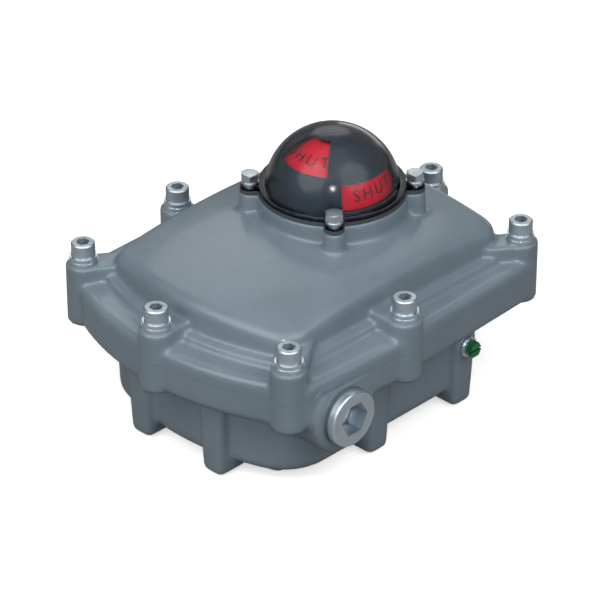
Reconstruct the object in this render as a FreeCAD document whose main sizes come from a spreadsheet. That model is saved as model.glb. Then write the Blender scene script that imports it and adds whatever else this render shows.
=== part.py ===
"""Valve limit switch box: cast housing and cover, indicator dome, shaft, cams and two microswitches.

Millimetres, +Z up. The origin is on the shaft axis, in the plane of the feet and of the bracket pad
underneath. The conduit entries face +X and -X, and the long bowed side of the box faces -Y.
"""
import FreeCAD, Part
import math
import os
import re
import Sketcher

Vector = FreeCAD.Vector

SIZES = {
    # Heights, each measured from the one before it
    "foot_height": 5.5,
    "wall_height": 33.0,
    "housing_flange": 12.6,
    "cover_flange": 6.4,
    "ledge_height": 3.3,
    "boss_height": 7.1,
    "pillow_height": 22.5,
    "collar_height": 7.2,
    # Flange outline, shared by the housing and the cover
    "flange_front": 105.0,
    "flange_back": 61.3,
    "flange_bow": 127.0,
    "flange_corner": 67.6,
    "flange_waist_front": 69.6,
    "flange_waist_back": 68.3,
    "flange_rear_corner": 64.4,
    "waist_front": 34.0,
    "waist_back": 21.5,
    "flange_rounding": 9.0,
    "rim_rounding": 3.0,
    "lower_rim_rounding": 2.4,
    # Screw bosses round the flange
    "boss_radius": 7.5,
    "boss_drop": 1.2,
    "front_corner_across": 59.2,
    "front_corner_along": 86.0,
    "front_middle_along": 101.0,
    "side_across": 65.4,
    "side_along": 26.3,
    "rear_corner_across": 57.0,
    "rear_corner_along": 53.7,
    "rear_middle_along": 61.0,
    "arm_half_width": 6.6,
    "arm_length": 21.0,
    "arm_slant": 55.0,
    # Raised pillow of the cover
    "pillow_half": 53.0,
    "pillow_front": 90.0,
    "pillow_back": 51.5,
    "pillow_bow": 118.0,
    "pillow_nose": 14.0,
    "pillow_heel": 13.0,
    "pillow_draft": 4.0,
    "pillow_rounding": 5.0,
    "crown_radius": 230.0,
    "crown_length_radius": 400.0,
    "crown_forward": 12.0,
    "ledge_width": 3.6,
    "ledge_rounding": 2.0,
    "cover_wall": 7.0,
    "cover_roof": 9.5,
    "roof_step": 4.5,
    "roof_inset": 11.0,
    "roof_inset_front": 26.0,
    # Lower housing
    "core_half": 56.6,
    "core_front": 91.6,
    "core_back": 51.6,
    "core_bow": 118.0,
    "core_nose": 25.0,
    "core_heel": 38.0,
    "core_draft": 2.0,
    "core_rounding": 4.5,
    "housing_wall": 7.5,
    "housing_floor": 8.0,
    "foot_half_width": 5.6,
    "foot_depth": 16.0,
    "foot_draft": 2.0,
    "foot_rounding": 2.6,
    "foot_spread": 21.0,
    "front_foot_face": 92.4,
    "rear_foot_face": 54.0,
    "side_foot_face": 58.6,
    "side_foot_front": 32.5,
    "side_foot_rear": 18.6,
    "pad_radius": 33.0,
    "button_radius": 5.0,
    "button_across": 39.0,
    "button_front": 72.0,
    "button_rear": 32.0,
    "button_gap": 3.0,
    "bracket_circle": 50.0,
    "bracket_hole_radius": 2.5,
    "bracket_hole_depth": 9.5,
    # Conduit entries
    "entry_along": 65.0,
    "entry_level": 37.8,
    "entry_face": 70.2,
    "entry_boss_radius": 16.4,
    "entry_radius": 10.0,
    "entry_inner_face": 49.2,
    "nut_face_radius": 13.0,
    "plug_flange_radius": 12.0,
    "plug_flange_thickness": 3.5,
    "plug_thread_length": 13.0,
    "plug_key_flats": 13.0,
    "plug_key_depth": 8.0,
    "plug_seal_thickness": 1.2,
    # Clearances
    "running_clearance": 0.05,
    "seat_clearance": 0.02,
    "thread_clearance": 0.05,
    "hole_clearance": 0.3,
    "axial_clearance": 0.1,
    # Cover screws, M6
    "cover_screw_radius": 3.0,
    "cover_screw_length": 25.0,
    "cover_head_radius": 5.0,
    "cover_head_height": 6.0,
    "cover_key_flats": 5.0,
    "cover_key_depth": 3.0,
    "cover_washer_radius": 6.0,
    "cover_washer_thickness": 1.6,
    "cover_spring_radius": 5.8,
    "cover_spring_thickness": 1.8,
    # Cover seal
    "seal_radius": 1.25,
    "seal_inset": 3.6,
    "groove_width": 3.0,
    # Dome, mask and gasket
    "dome_radius": 28.4,
    "dome_wall": 1.5,
    "dome_lift": 0.3,
    "dome_flange_radius": 30.7,
    "dome_flange_thickness": 2.3,
    "gasket_radius": 31.1,
    "gasket_bore": 23.2,
    "gasket_thickness": 1.5,
    "collar_radius": 31.4,
    "collar_rounding": 3.0,
    "well_radius": 22.0,
    "well_depth": 3.2,
    "ear_circle": 34.1,
    "ear_radius": 4.0,
    "ear_web": 4.8,
    "post_radius": 4.5,
    "post_draft": 1.5,
    "mask_gap": 0.3,
    "mask_wall": 1.0,
    "mask_flange_reach": 1.9,
    "mask_flange_thickness": 1.0,
    "window_half_angle": 37.5,
    "low_window_start": 8.0,
    "low_window_end": 31.0,
    "high_window_start": 38.5,
    "high_window_end": 75.0,
    # Dome screws, M4
    "dome_screw_radius": 2.0,
    "dome_screw_length": 12.0,
    "dome_head_flats": 7.0,
    "dome_head_height": 2.8,
    "dome_washer_radius": 3.8,
    "dome_washer_thickness": 0.8,
    "dome_spring_radius": 3.5,
    "dome_spring_thickness": 0.9,
    # Indicator rotor and its panels
    "rotor_radius": 24.2,
    "rotor_wall": 1.5,
    "rotor_hub_radius": 8.0,
    "rotor_hub_drop": 0.7,
    "rotor_web": 7.0,
    "panel_thickness": 0.7,
    "panel_half_angle": 44.6,
    "low_panel_start": 4.0,
    "panel_split": 34.7,
    "panel_split_gap": 0.8,
    "high_panel_end": 79.0,
    "rotor_screw_radius": 2.0,
    "rotor_screw_grip": 7.0,
    "rotor_screw_head_radius": 3.6,
    "rotor_screw_head_height": 2.4,
    # Shaft, spindle and bearings
    "stub_radius": 6.0,
    "stub_length": 22.0,
    "tang_length": 10.0,
    "tang_thickness": 4.0,
    "tang_radius": 5.5,
    "cam_seat_radius": 6.5,
    "journal_radius": 7.0,
    "bush_wall": 3.0,
    "bush_flange": 3.5,
    "bush_flange_thickness": 1.5,
    "inner_boss_height": 4.5,
    "inner_boss_radius": 15.0,
    "recess_depth": 3.5,
    "recess_radius": 12.5,
    "thrust_washer_thickness": 1.0,
    "thrust_washer_radius": 11.5,
    "shaft_collar_radius": 11.0,
    "shaft_collar_thickness": 2.4,
    "shaft_height": 60.0,
    "ring_thickness": 1.0,
    "ring_radius": 10.0,
    "ring_groove": 0.8,
    "tang_chamfer": 0.8,
    "oring_radius": 0.9,
    "spindle_radius": 5.0,
    "spindle_bush_wall": 3.0,
    "spindle_collar_radius": 8.0,
    "spindle_collar_thickness": 2.2,
    "spindle_tang_thickness": 3.0,
    "spindle_tang_length": 5.0,
    "spindle_neck_radius": 4.0,
    "spindle_neck_length": 15.0,
    "roof_boss_height": 4.5,
    "roof_boss_radius": 13.0,
    "spindle_ring_radius": 7.0,
    # Cams
    "cam_hub_radius": 9.6,
    "cam_hub_height": 4.0,
    "cam_width": 6.0,
    "cam_base_radius": 10.2,
    "switch_pitch": 12.0,
    # Microswitches
    "switch_depth": 15.9,
    "switch_length": 27.8,
    "switch_height": 10.3,
    "switch_face": 20.0,
    "switch_rounding": 0.6,
    "pivot_across": 18.4,
    "pivot_along": 18.0,
    "pivot_inset": 4.0,
    "lever_arm": 18.0,
    "lever_pressed_angle": 8.0,
    "lever_stroke": 8.0,
    "lever_thickness": 0.6,
    "lever_width": 4.0,
    "lever_eye_radius": 1.5,
    "pivot_pin_radius": 0.75,
    "roller_radius": 2.5,
    "roller_width": 3.4,
    "roller_pin_radius": 0.7,
    "roller_gap": 0.15,
    "plunger_radius": 1.2,
    "plunger_length": 6.5,
    "plunger_offset": 7.0,
    "plunger_gap": 0.12,
    "switch_hole_spacing": 22.2,
    "switch_hole_inset": 3.4,
    "switch_screw_radius": 1.5,
    "bracket_sheet": 1.5,
    "bracket_screw_radius": 2.0,
    "bracket_margin": 0.5,
    "bracket_screw_spacing": 18.0,
    # Terminal block
    "terminal_count": 8.0,
    "terminal_pitch": 7.0,
    "terminal_width": 15.0,
    "terminal_base": 5.0,
    "terminal_wall": 1.4,
    "terminal_height": 13.0,
    "terminal_across": 36.0,
    "terminal_along": 12.0,
    "terminal_screw_radius": 1.9,
    "terminal_boss_height": 6.0,
    # Earth screws, M5 outside and M4 inside
    "inner_earth_across": 22.0,
    "inner_earth_along": 62.0,
    "earth_level": 29.0,
    "earth_seat": 60.2,
    "earth_seat_radius": 5.4,
    "earth_screw_radius": 2.0,
    "earth_screw_length": 12.0,
    "earth_head_flats": 6.0,
    "earth_head_height": 3.0,
    "earth_washer_radius": 4.5,
    "earth_washer_thickness": 0.8,
    "earth_spring_thickness": 1.0,
    "earth_slot_width": 1.0,
    "earth_slot_depth": 1.4,
}

# Levels and places that follow from the sizes, as sums of them
LEVELS = {
    "housing_bottom": "foot_height",
    "flange_bottom": "housing_bottom + wall_height",
    "parting": "flange_bottom + housing_flange",
    "flange_top": "parting + cover_flange",
    "ledge_top": "flange_top + ledge_height",
    "boss_top": "flange_top + boss_height",
    "pillow_top": "flange_top + pillow_height",
    "dome_seat": "pillow_top + collar_height",
    "dome_centre": "dome_seat + dome_lift",
    "gasket_top": "dome_seat + gasket_thickness",
    "rotor_rim": "gasket_top + mask_flange_thickness / 2",
    "dome_flange_top": "gasket_top + dome_flange_thickness",
    "cavity_floor": "housing_bottom + housing_floor",
    "ceiling": "pillow_top - cover_roof",
    "low_ceiling": "ceiling - roof_step",
    "spindle_bush_bottom": "ceiling - roof_boss_height",
    "spindle_bush_top": "dome_seat - well_depth",
    "bush_top": "cavity_floor + inner_boss_height",
    "thrust_level": "bush_top + bush_flange_thickness",
    "collar_bottom": "thrust_level + thrust_washer_thickness + axial_clearance",
    "collar_top": "collar_bottom + shaft_collar_thickness",
    "low_cam_start": "collar_top + cam_hub_height",
    "low_cam_middle": "low_cam_start + cam_width / 2",
    "high_cam_start": "low_cam_start + switch_pitch",
    "high_cam_middle": "high_cam_start + cam_width / 2",
    "cam_stack_top": "high_cam_start + cam_width + cam_hub_height",
    "mask_outer": "dome_radius - dome_wall - mask_gap",
    "mask_inner": "mask_outer - mask_wall",
    "bush_outer": "journal_radius + bush_wall",
    "spindle_bush_outer": "spindle_radius + spindle_bush_wall",
    "spindle_top": "dome_centre + rotor_radius - rotor_wall - rotor_web",
    "bracket_web": "switch_face + switch_depth + 1",
    "bracket_end": "core_half - housing_wall - (parting - cavity_floor) * tan(core_draft) - bracket_margin",
}

doc = FreeCAD.newDocument("limit_switch_box")
sheet = doc.addObject("Spreadsheet::Sheet", "Sizes")
for row, (alias, number) in enumerate(SIZES.items(), 1):
    sheet.set(f"A{row}", alias)
    sheet.set(f"B{row}", str(number))
    sheet.setAlias(f"B{row}", alias)
doc.recompute()


def expression(text):
    """Spell a formula out: a level's name becomes its sum, any other word becomes its cell."""
    def spell(match):
        word = match.group(0)
        return f"({expression(LEVELS[word])})" if word in LEVELS else f"Sizes.{word}"
    return re.sub(r"\b[a-z]\w*\b(?!\()", spell, str(text))


def value(text):
    """The number that a formula gives."""
    return float(sheet.evalExpression(expression(text)))


def bind(target, **formulas):
    """Bind properties of an object to formulas."""
    for name, text in formulas.items():
        target.setExpression(name, expression(text))


def constrain(sketch, formula, *constraint):
    """Add one dimension to a sketch and bind it to a formula."""
    index = sketch.addConstraint(Sketcher.Constraint(*constraint, value(formula)))
    sketch.setExpression(f"Constraints[{index}]", expression(formula))


def outline(sketch, corners):
    """Draw a closed outline. A corner is (x, y) or (x, y, radius), with formulas.

    A radius bends the edge to the next corner: anticlockwise where it is given plain, and
    clockwise where it starts with "cw ".
    """
    first = sketch.GeometryCount
    points = [Vector(value(corner[0]), value(corner[1]), 0) for corner in corners]
    ends = []
    for index, corner in enumerate(corners):
        start, finish = points[index], points[(index + 1) % len(points)]
        if len(corner) == 2:
            sketch.addGeometry(Part.LineSegment(start, finish), False)
            ends.append((1, 2))
            continue
        clockwise = corner[2].startswith("cw ")
        radius = value(corner[2].removeprefix("cw "))
        if clockwise:
            start, finish = finish, start
        chord = finish - start
        rise = math.sqrt(max(radius ** 2 - chord.Length ** 2 / 4, 0))
        centre = (start + finish) / 2 + Vector(-chord.y, chord.x, 0).normalize() * rise
        angles = [math.atan2(end.y - centre.y, end.x - centre.x) for end in (start, finish)]
        circle = Part.Circle(centre, Vector(0, 0, 1), radius)
        sketch.addGeometry(Part.ArcOfCircle(circle, *angles), False)
        ends.append((2, 1) if clockwise else (1, 2))
    for index, corner in enumerate(corners):
        following = (index + 1) % len(corners)
        sketch.addConstraint(Sketcher.Constraint("Coincident", first + index, ends[index][1],
                                                 first + following, ends[following][0]))
        constrain(sketch, corner[0], "DistanceX", -1, 1, first + index, ends[index][0])
        constrain(sketch, corner[1], "DistanceY", -1, 1, first + index, ends[index][0])
        if len(corner) == 3:
            constrain(sketch, corner[2].removeprefix("cw "), "Radius", first + index)


def disc(sketch, x, y, radius):
    """Draw a circle."""
    index = sketch.GeometryCount
    centre = Vector(value(x), value(y), 0)
    sketch.addGeometry(Part.Circle(centre, Vector(0, 0, 1), value(radius)), False)
    constrain(sketch, x, "DistanceX", -1, 1, index, 3)
    constrain(sketch, y, "DistanceY", -1, 1, index, 3)
    constrain(sketch, radius, "Radius", index)


def rectangle(sketch, left, right, low, high):
    """Draw an upright rectangle."""
    outline(sketch, [(left, low), (right, low), (right, high), (left, high)])


def hexagon(sketch, x, y, flats):
    """Draw a hexagon with two flats across the sketch's own y."""
    reach = f"({flats}) / (2 * cos(30))"
    outline(sketch, [(f"({x}) + {reach} * cos({60 * step})", f"({y}) + {reach} * sin({60 * step})")
                     for step in range(6)])


def arched(sketch, half, front, back, bow, nose, heel):
    """Draw a rounded rectangle with a bowed front; nose and heel are its corner radii."""
    drop = f"sqrt((({bow}) - ({nose}))^2 - (({half}) - ({nose}))^2)"
    reach = f"(({bow}) / (({bow}) - ({nose})))"
    touch_x = f"((({half}) - ({nose})) * {reach})"
    touch_y = f"(({bow}) - ({front}) - {drop} * {reach})"
    side_y = f"(({bow}) - ({front}) - {drop})"
    outline(sketch, [
        (touch_x, touch_y, nose), (half, side_y), (half, f"({back}) - ({heel})", heel),
        (f"({half}) - ({heel})", back), (f"({heel}) - ({half})", back, heel),
        (f"-({half})", f"({back}) - ({heel})"), (f"-({half})", side_y, nose),
        (f"-{touch_x}", touch_y, bow)])


def sector(sketch, centre, inner, outer, low, high):
    """Draw a piece of a ring about (0, centre), between two angles above the horizontal."""
    def corner(radius, angle, *bend):
        return (f"({radius}) * cos({angle})", f"({centre}) + ({radius}) * sin({angle})", *bend)
    outline(sketch, [corner(inner, low), corner(outer, low, outer), corner(outer, high),
                     corner(inner, high, f"cw {inner}")])


class Piece:
    """One sub-part: a PartDesign body that grows feature by feature."""

    def __init__(self, label, merge=True):
        self.merge = merge
        self.body = doc.addObject("PartDesign::Body", label)
        self.body.Label = label
        self.body.AllowCompound = True

    @property
    def shape(self):
        """The shape so far."""
        return self.body.Tip.Shape

    def sketch(self, name, plane="XY", offset="0"):
        """A sketch on an origin plane, moved along the plane's own normal by a formula."""
        origin = next(each for each in self.body.Origin.OriginFeatures
                      if each.Role == f"{plane}_Plane")
        sketch = self.body.newObject("Sketcher::SketchObject", f"{self.body.Name}_{name}")
        sketch.AttachmentSupport = [(origin, "")]
        sketch.MapMode = "FlatFace"
        bind(sketch, **{"AttachmentOffset.Base.z": offset})
        doc.recompute()
        return sketch

    def _feature(self, kind, sketch, settings, grows):
        """Make a sketch-based feature and make sure that it adds or removes material."""
        before = self.shape.Volume if self.body.Tip else 0.0
        feature = self.body.newObject(f"PartDesign::{kind}", f"{sketch.Name}_{kind.lower()}")
        feature.Profile = sketch
        feature.Refine = self.merge
        for name, setting in settings.items():
            if isinstance(setting, str) and name not in ("Type",):
                bind(feature, **{name: setting})
            else:
                setattr(feature, name, setting)
        sketch.Visibility = False
        doc.recompute()
        change = self.shape.Volume - before
        if (change > 0) != grows or abs(change) < 1e-6:
            raise RuntimeError(f"{feature.Name} changes the volume by {change:.4f}")
        return feature

    def pad(self, sketch, length, **settings):
        """Grow the sketch into a solid."""
        return self._feature("Pad", sketch, {"Length": length, **settings}, True)

    def pocket(self, sketch, length, **settings):
        """Cut the sketch out, against its normal unless Reversed."""
        return self._feature("Pocket", sketch, {"Length": length, **settings}, False)

    def revolve(self, sketch, angle=360.0, axis="V_Axis", **settings):
        """Turn the sketch about one of its axes into a solid."""
        about = {"ReferenceAxis": (sketch, [axis]), "Angle": angle}
        return self._feature("Revolution", sketch, {**about, **settings}, True)

    def groove(self, sketch, angle=360.0, axis="V_Axis", **settings):
        """Turn the sketch about one of its axes and cut it out."""
        about = {"ReferenceAxis": (sketch, [axis]), "Angle": angle}
        return self._feature("Groove", sketch, {**about, **settings}, False)

    def fillet(self, name, radius, chosen):
        """Round the edges that a test chooses."""
        return self._dress("Fillet", name, {"Radius": radius}, chosen)

    def chamfer(self, name, size, chosen):
        """Bevel the edges that a test chooses."""
        return self._dress("Chamfer", name, {"Size": size}, chosen)

    def _dress(self, kind, name, settings, chosen):
        edges = [f"Edge{index}" for index, edge in enumerate(self.shape.Edges, 1) if chosen(edge)]
        if not edges:
            raise RuntimeError(f"{self.body.Name} {name}: no edge chosen")
        base = self.body.Tip
        feature = self.body.newObject(f"PartDesign::{kind}", f"{self.body.Name}_{name}")
        feature.Base = (base, edges)
        bind(feature, **settings)
        doc.recompute()
        return feature

    def merge_faces(self):
        """Merge split faces at the end, for a large casting that is slow to merge at each step."""
        self.body.Tip.Refine = True
        doc.recompute()

    def pattern(self, feature, count, axis="Z"):
        """Repeat a feature evenly round an axis of the body."""
        origin = next(each for each in self.body.Origin.OriginFeatures
                      if each.Role == f"{axis}_Axis")
        polar = self.body.newObject("PartDesign::PolarPattern", f"{feature.Name}_pattern")
        polar.Originals = [feature]
        polar.Axis = (origin, [""])
        polar.Angle = 360
        polar.Occurrences = count
        self.body.Tip = polar
        doc.recompute()
        return polar


def turned(label, corners):
    """A piece turned about the shaft axis, from its half profile of (radius, height)."""
    piece = Piece(label)
    sketch = piece.sketch("profile", "XZ")
    outline(sketch, corners)
    piece.revolve(sketch)
    return piece


def ring(label, inner, outer, low, high):
    """A plain ring about the shaft axis."""
    return turned(label, [(inner, low), (outer, low), (outer, high), (inner, high)])


def copies(label, source, places):
    """Group copies of one piece as a sub-part. A place is ((x, y, z), turn) with formulas."""
    links = []
    for index, (place, turn) in enumerate(places, 1):
        link = doc.addObject("App::Link", f"{label}_{index}")
        link.LinkedObject = source.body
        link.LinkTransform = True
        link.Placement = FreeCAD.Placement(Vector(), turn)
        bind(link, **{f"Placement.Base.{axis}": text for axis, text in zip("xyz", place)})
        links.append(link)
    group = doc.addObject("Part::Compound", label)
    group.Label = label
    group.Links = links
    return group


def at_level(height, tolerance=0.02):
    """A test for edges that lie flat at a height."""
    level = value(height)
    return lambda edge: (abs(edge.BoundBox.ZMin - level) < tolerance
                         and abs(edge.BoundBox.ZMax - level) < tolerance)


def upright(edge):
    """Whether an edge climbs more than it runs."""
    box = edge.BoundBox
    return box.ZLength > 2 * max(box.XLength, box.YLength)


# The eight cover screws, as (x, y, direction in which the arm runs to the pillow)
COVER_SCREWS = [
    ("-front_corner_across", "-front_corner_along", "arm_slant"),
    ("0", "-front_middle_along", "90"),
    ("front_corner_across", "-front_corner_along", "180 - arm_slant"),
    ("side_across", "-side_along", "180"),
    ("rear_corner_across", "rear_corner_along", "180 + arm_slant"),
    ("0", "rear_middle_along", "-90"),
    ("-rear_corner_across", "rear_corner_along", "-arm_slant"),
    ("-side_across", "-side_along", "0"),
]

# The four dome screws stand on the diagonals
DOME_SCREWS = [(f"ear_circle * cos({angle})", f"ear_circle * sin({angle})")
               for angle in (45, 135, 225, 315)]

# Screw places on the housing's floor and through the microswitches, as (x, y)
TERMINAL_FEET = [("-terminal_across", f"-terminal_along {side} (terminal_count * terminal_pitch / 2 + 5)")
                 for side in "-+"]
BRACKET_FEET = [("(bracket_web + bracket_sheet + bracket_end) / 2",
                 f"switch_length / 2 - pivot_inset - pivot_along {side} bracket_screw_spacing / 2")
                for side in "-+"]
EARTH_FOOT = [("inner_earth_across", "-inner_earth_along")]
SWITCH_HOLES = [("switch_face + switch_depth - switch_hole_inset",
                 f"switch_length / 2 - pivot_inset - pivot_along {side} switch_hole_spacing / 2")
                for side in "-+"]

# How the copies of a fastener are turned: straight, with a corner forwards, or with the split backwards
STRAIGHT = FreeCAD.Rotation(Vector(0, 0, 1), 0)
CORNER_FORWARDS = FreeCAD.Rotation(Vector(0, 0, 1), 15)
SPLIT_BACKWARDS = FreeCAD.Rotation(Vector(0, 0, 1), 135)


def flange_outline(sketch):
    """The flange's outline, with a bowed front and a waist at the side screws."""
    right = [("flange_waist_front", "-waist_front"), ("flange_waist_back", "-waist_back"),
             ("flange_rear_corner", "flange_back")]
    corner_y = "(flange_bow - flange_front - sqrt(flange_bow^2 - flange_corner^2))"
    left = [(f"-{x}", y) for x, y in reversed(right)]
    outline(sketch, [("flange_corner", corner_y), *right, *left,
                     ("-flange_corner", corner_y, "flange_bow")])


def flange_corners(edge):
    """Whether an edge is one of the flange's four outer corners."""
    y = edge.CenterOfMass.y
    on_flange = edge.BoundBox.ZMin > value("flange_bottom") - 1
    return on_flange and upright(edge) and (
        y > value("flange_back") - 1 or y < -value("waist_front") - 20)


def screw_holes(piece, radius, start, depth, name="screw_holes"):
    """Bore the eight cover screw holes downwards from a level."""
    holes = piece.sketch(name, offset=start)
    for x, y, _ in COVER_SCREWS:
        disc(holes, x, y, radius)
    return piece.pocket(holes, depth)


def lower_housing():
    """The cast lower housing: flange, walls, feet, conduit bosses, cavity and shaft boss."""
    piece = Piece("lower_housing", merge=False)
    core = piece.sketch("core", offset="parting")
    arched(core, "core_half", "core_front", "core_back", "core_bow", "core_nose", "core_heel")
    piece.pad(core, "parting - housing_bottom", Reversed=True, TaperAngle="-core_draft")
    piece.fillet("core_edge", "core_rounding", at_level("housing_bottom"))
    feet = piece.sketch("feet")
    for side in ("", "-"):
        across = f"{side}foot_spread"
        rectangle(feet, f"{across} - foot_half_width", f"{across} + foot_half_width",
                  "-front_foot_face", "foot_depth - front_foot_face")
        rectangle(feet, f"{across} - foot_half_width", f"{across} + foot_half_width",
                  "rear_foot_face - foot_depth", "rear_foot_face")
        inner, outer = f"{side}(side_foot_face - foot_depth)", f"{side}side_foot_face"
        left, right = (outer, inner) if side else (inner, outer)
        for along in ("-side_foot_front", "side_foot_rear"):
            rectangle(feet, left, right, f"{along} - foot_half_width", f"{along} + foot_half_width")
    piece.pad(feet, "flange_bottom + 1", TaperAngle="foot_draft")
    top = value("flange_bottom")
    piece.fillet("foot_edges", "foot_rounding", lambda edge: edge.BoundBox.ZMin < 0.01 and (
        edge.BoundBox.ZMax < 0.01 or edge.BoundBox.ZMax > top))
    flange = piece.sketch("flange", offset="flange_bottom")
    flange_outline(flange)
    piece.pad(flange, "housing_flange")
    piece.fillet("flange_corners", "flange_rounding", flange_corners)
    rim = at_level("flange_bottom")
    reach = value("core_half") + 3
    piece.fillet("flange_rim", "lower_rim_rounding", lambda edge: rim(edge) and (
        abs(edge.CenterOfMass.x) > reach or edge.CenterOfMass.y > value("core_back") + 3
        or edge.BoundBox.YMin < -value("core_front") - 3))
    bosses = piece.sketch("bosses", offset="flange_bottom - boss_drop")
    for x, y, _ in COVER_SCREWS:
        disc(bosses, x, y, "boss_radius")
    piece.pad(bosses, "housing_flange + boss_drop")
    entries = piece.sketch("entries", "YZ")
    disc(entries, "-entry_along", "entry_level", "entry_boss_radius")
    piece.pad(entries, "2 * entry_face", Midplane=True)
    seat = piece.sketch("earth_seat", "YZ", "side_foot_face - foot_depth / 2")
    disc(seat, "side_foot_rear", "earth_level", "earth_seat_radius")
    piece.pad(seat, "earth_seat - side_foot_face + foot_depth / 2")
    pad = piece.sketch("bracket_pad")
    disc(pad, "0", "0", "pad_radius")
    piece.pad(pad, "housing_bottom + 1")
    buttons = piece.sketch("corner_buttons", offset="button_gap")
    for side in ("", "-"):
        for along in ("-button_front", "button_rear"):
            disc(buttons, f"{side}button_across", along, "button_radius")
    piece.pad(buttons, "housing_bottom - button_gap + 1")
    trim = piece.sketch("parting_trim", offset="parting")
    rectangle(trim, "-2 * entry_face", "2 * entry_face", "-2 * flange_front", "2 * flange_front")
    piece.pocket(trim, "entry_boss_radius", Reversed=True)
    cavity = piece.sketch("cavity", offset="parting")
    arched(cavity, "core_half - housing_wall", "core_front - housing_wall",
           "core_back - housing_wall", "core_bow - housing_wall", "core_nose - housing_wall",
           "core_heel - housing_wall")
    piece.pocket(cavity, "parting - cavity_floor", TaperAngle="-core_draft")
    bosses = piece.sketch("inner_bosses", offset="cavity_floor - 1")
    disc(bosses, "0", "0", "inner_boss_radius")
    piece.pad(bosses, "inner_boss_height + 1")
    small = piece.sketch("small_bosses", offset="cavity_floor - 1")
    for x, y in TERMINAL_FEET + BRACKET_FEET + EARTH_FOOT:
        disc(small, x, y, "2.2 * bracket_screw_radius")
    piece.pad(small, "terminal_boss_height + 1")
    bore = piece.sketch("shaft_bore", "XZ")
    outline(bore, [("0", "-1"), ("recess_radius", "-1"), ("recess_radius", "recess_depth"),
                   ("bush_outer + seat_clearance", "recess_depth"),
                   ("bush_outer + seat_clearance", "bush_top + 1"), ("0", "bush_top + 1")])
    piece.groove(bore)
    bracket = piece.sketch("bracket_holes")
    for angle in (45, 135, 225, 315):
        disc(bracket, f"bracket_circle / 2 * cos({angle})", f"bracket_circle / 2 * sin({angle})",
             "bracket_hole_radius")
    piece.pocket(bracket, "bracket_hole_depth", Reversed=True)
    small_holes = piece.sketch("small_holes", offset="cavity_floor + terminal_boss_height")
    for x, y in TERMINAL_FEET + BRACKET_FEET + EARTH_FOOT:
        disc(small_holes, x, y, "bracket_screw_radius + thread_clearance")
    piece.pocket(small_holes, "terminal_boss_height + 3")
    nut_face = piece.sketch("nut_faces", "YZ")
    disc(nut_face, "-entry_along", "entry_level", "nut_face_radius")
    piece.pocket(nut_face, "2 * entry_inner_face", Midplane=True)
    through = piece.sketch("entry_holes", "YZ")
    disc(through, "-entry_along", "entry_level", "entry_radius")
    piece.pocket(through, "4 * entry_face", Midplane=True)
    earth = piece.sketch("earth_hole", "YZ", "earth_seat")
    disc(earth, "side_foot_rear", "earth_level", "earth_screw_radius + thread_clearance")
    piece.pocket(earth, "earth_screw_length")
    screw_holes(piece, "cover_screw_radius + thread_clearance", "parting",
                "housing_flange - 1.5")
    groove = piece.sketch("seal_groove", offset="parting")
    for reach in ("seal_inset - groove_width / 2", "seal_inset + groove_width / 2"):
        seal_line(groove, reach)
    piece.pocket(groove, "2 * seal_radius")
    piece.merge_faces()
    return piece


def seal_line(sketch, reach):
    """The cavity's mouth, moved outwards by a formula."""
    inset = f"(housing_wall - ({reach}))"
    arched(sketch, f"core_half - {inset}", f"core_front - {inset}", f"core_back - {inset}",
           f"core_bow - {inset}", f"core_nose - {inset}", f"core_heel - {inset}")


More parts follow.
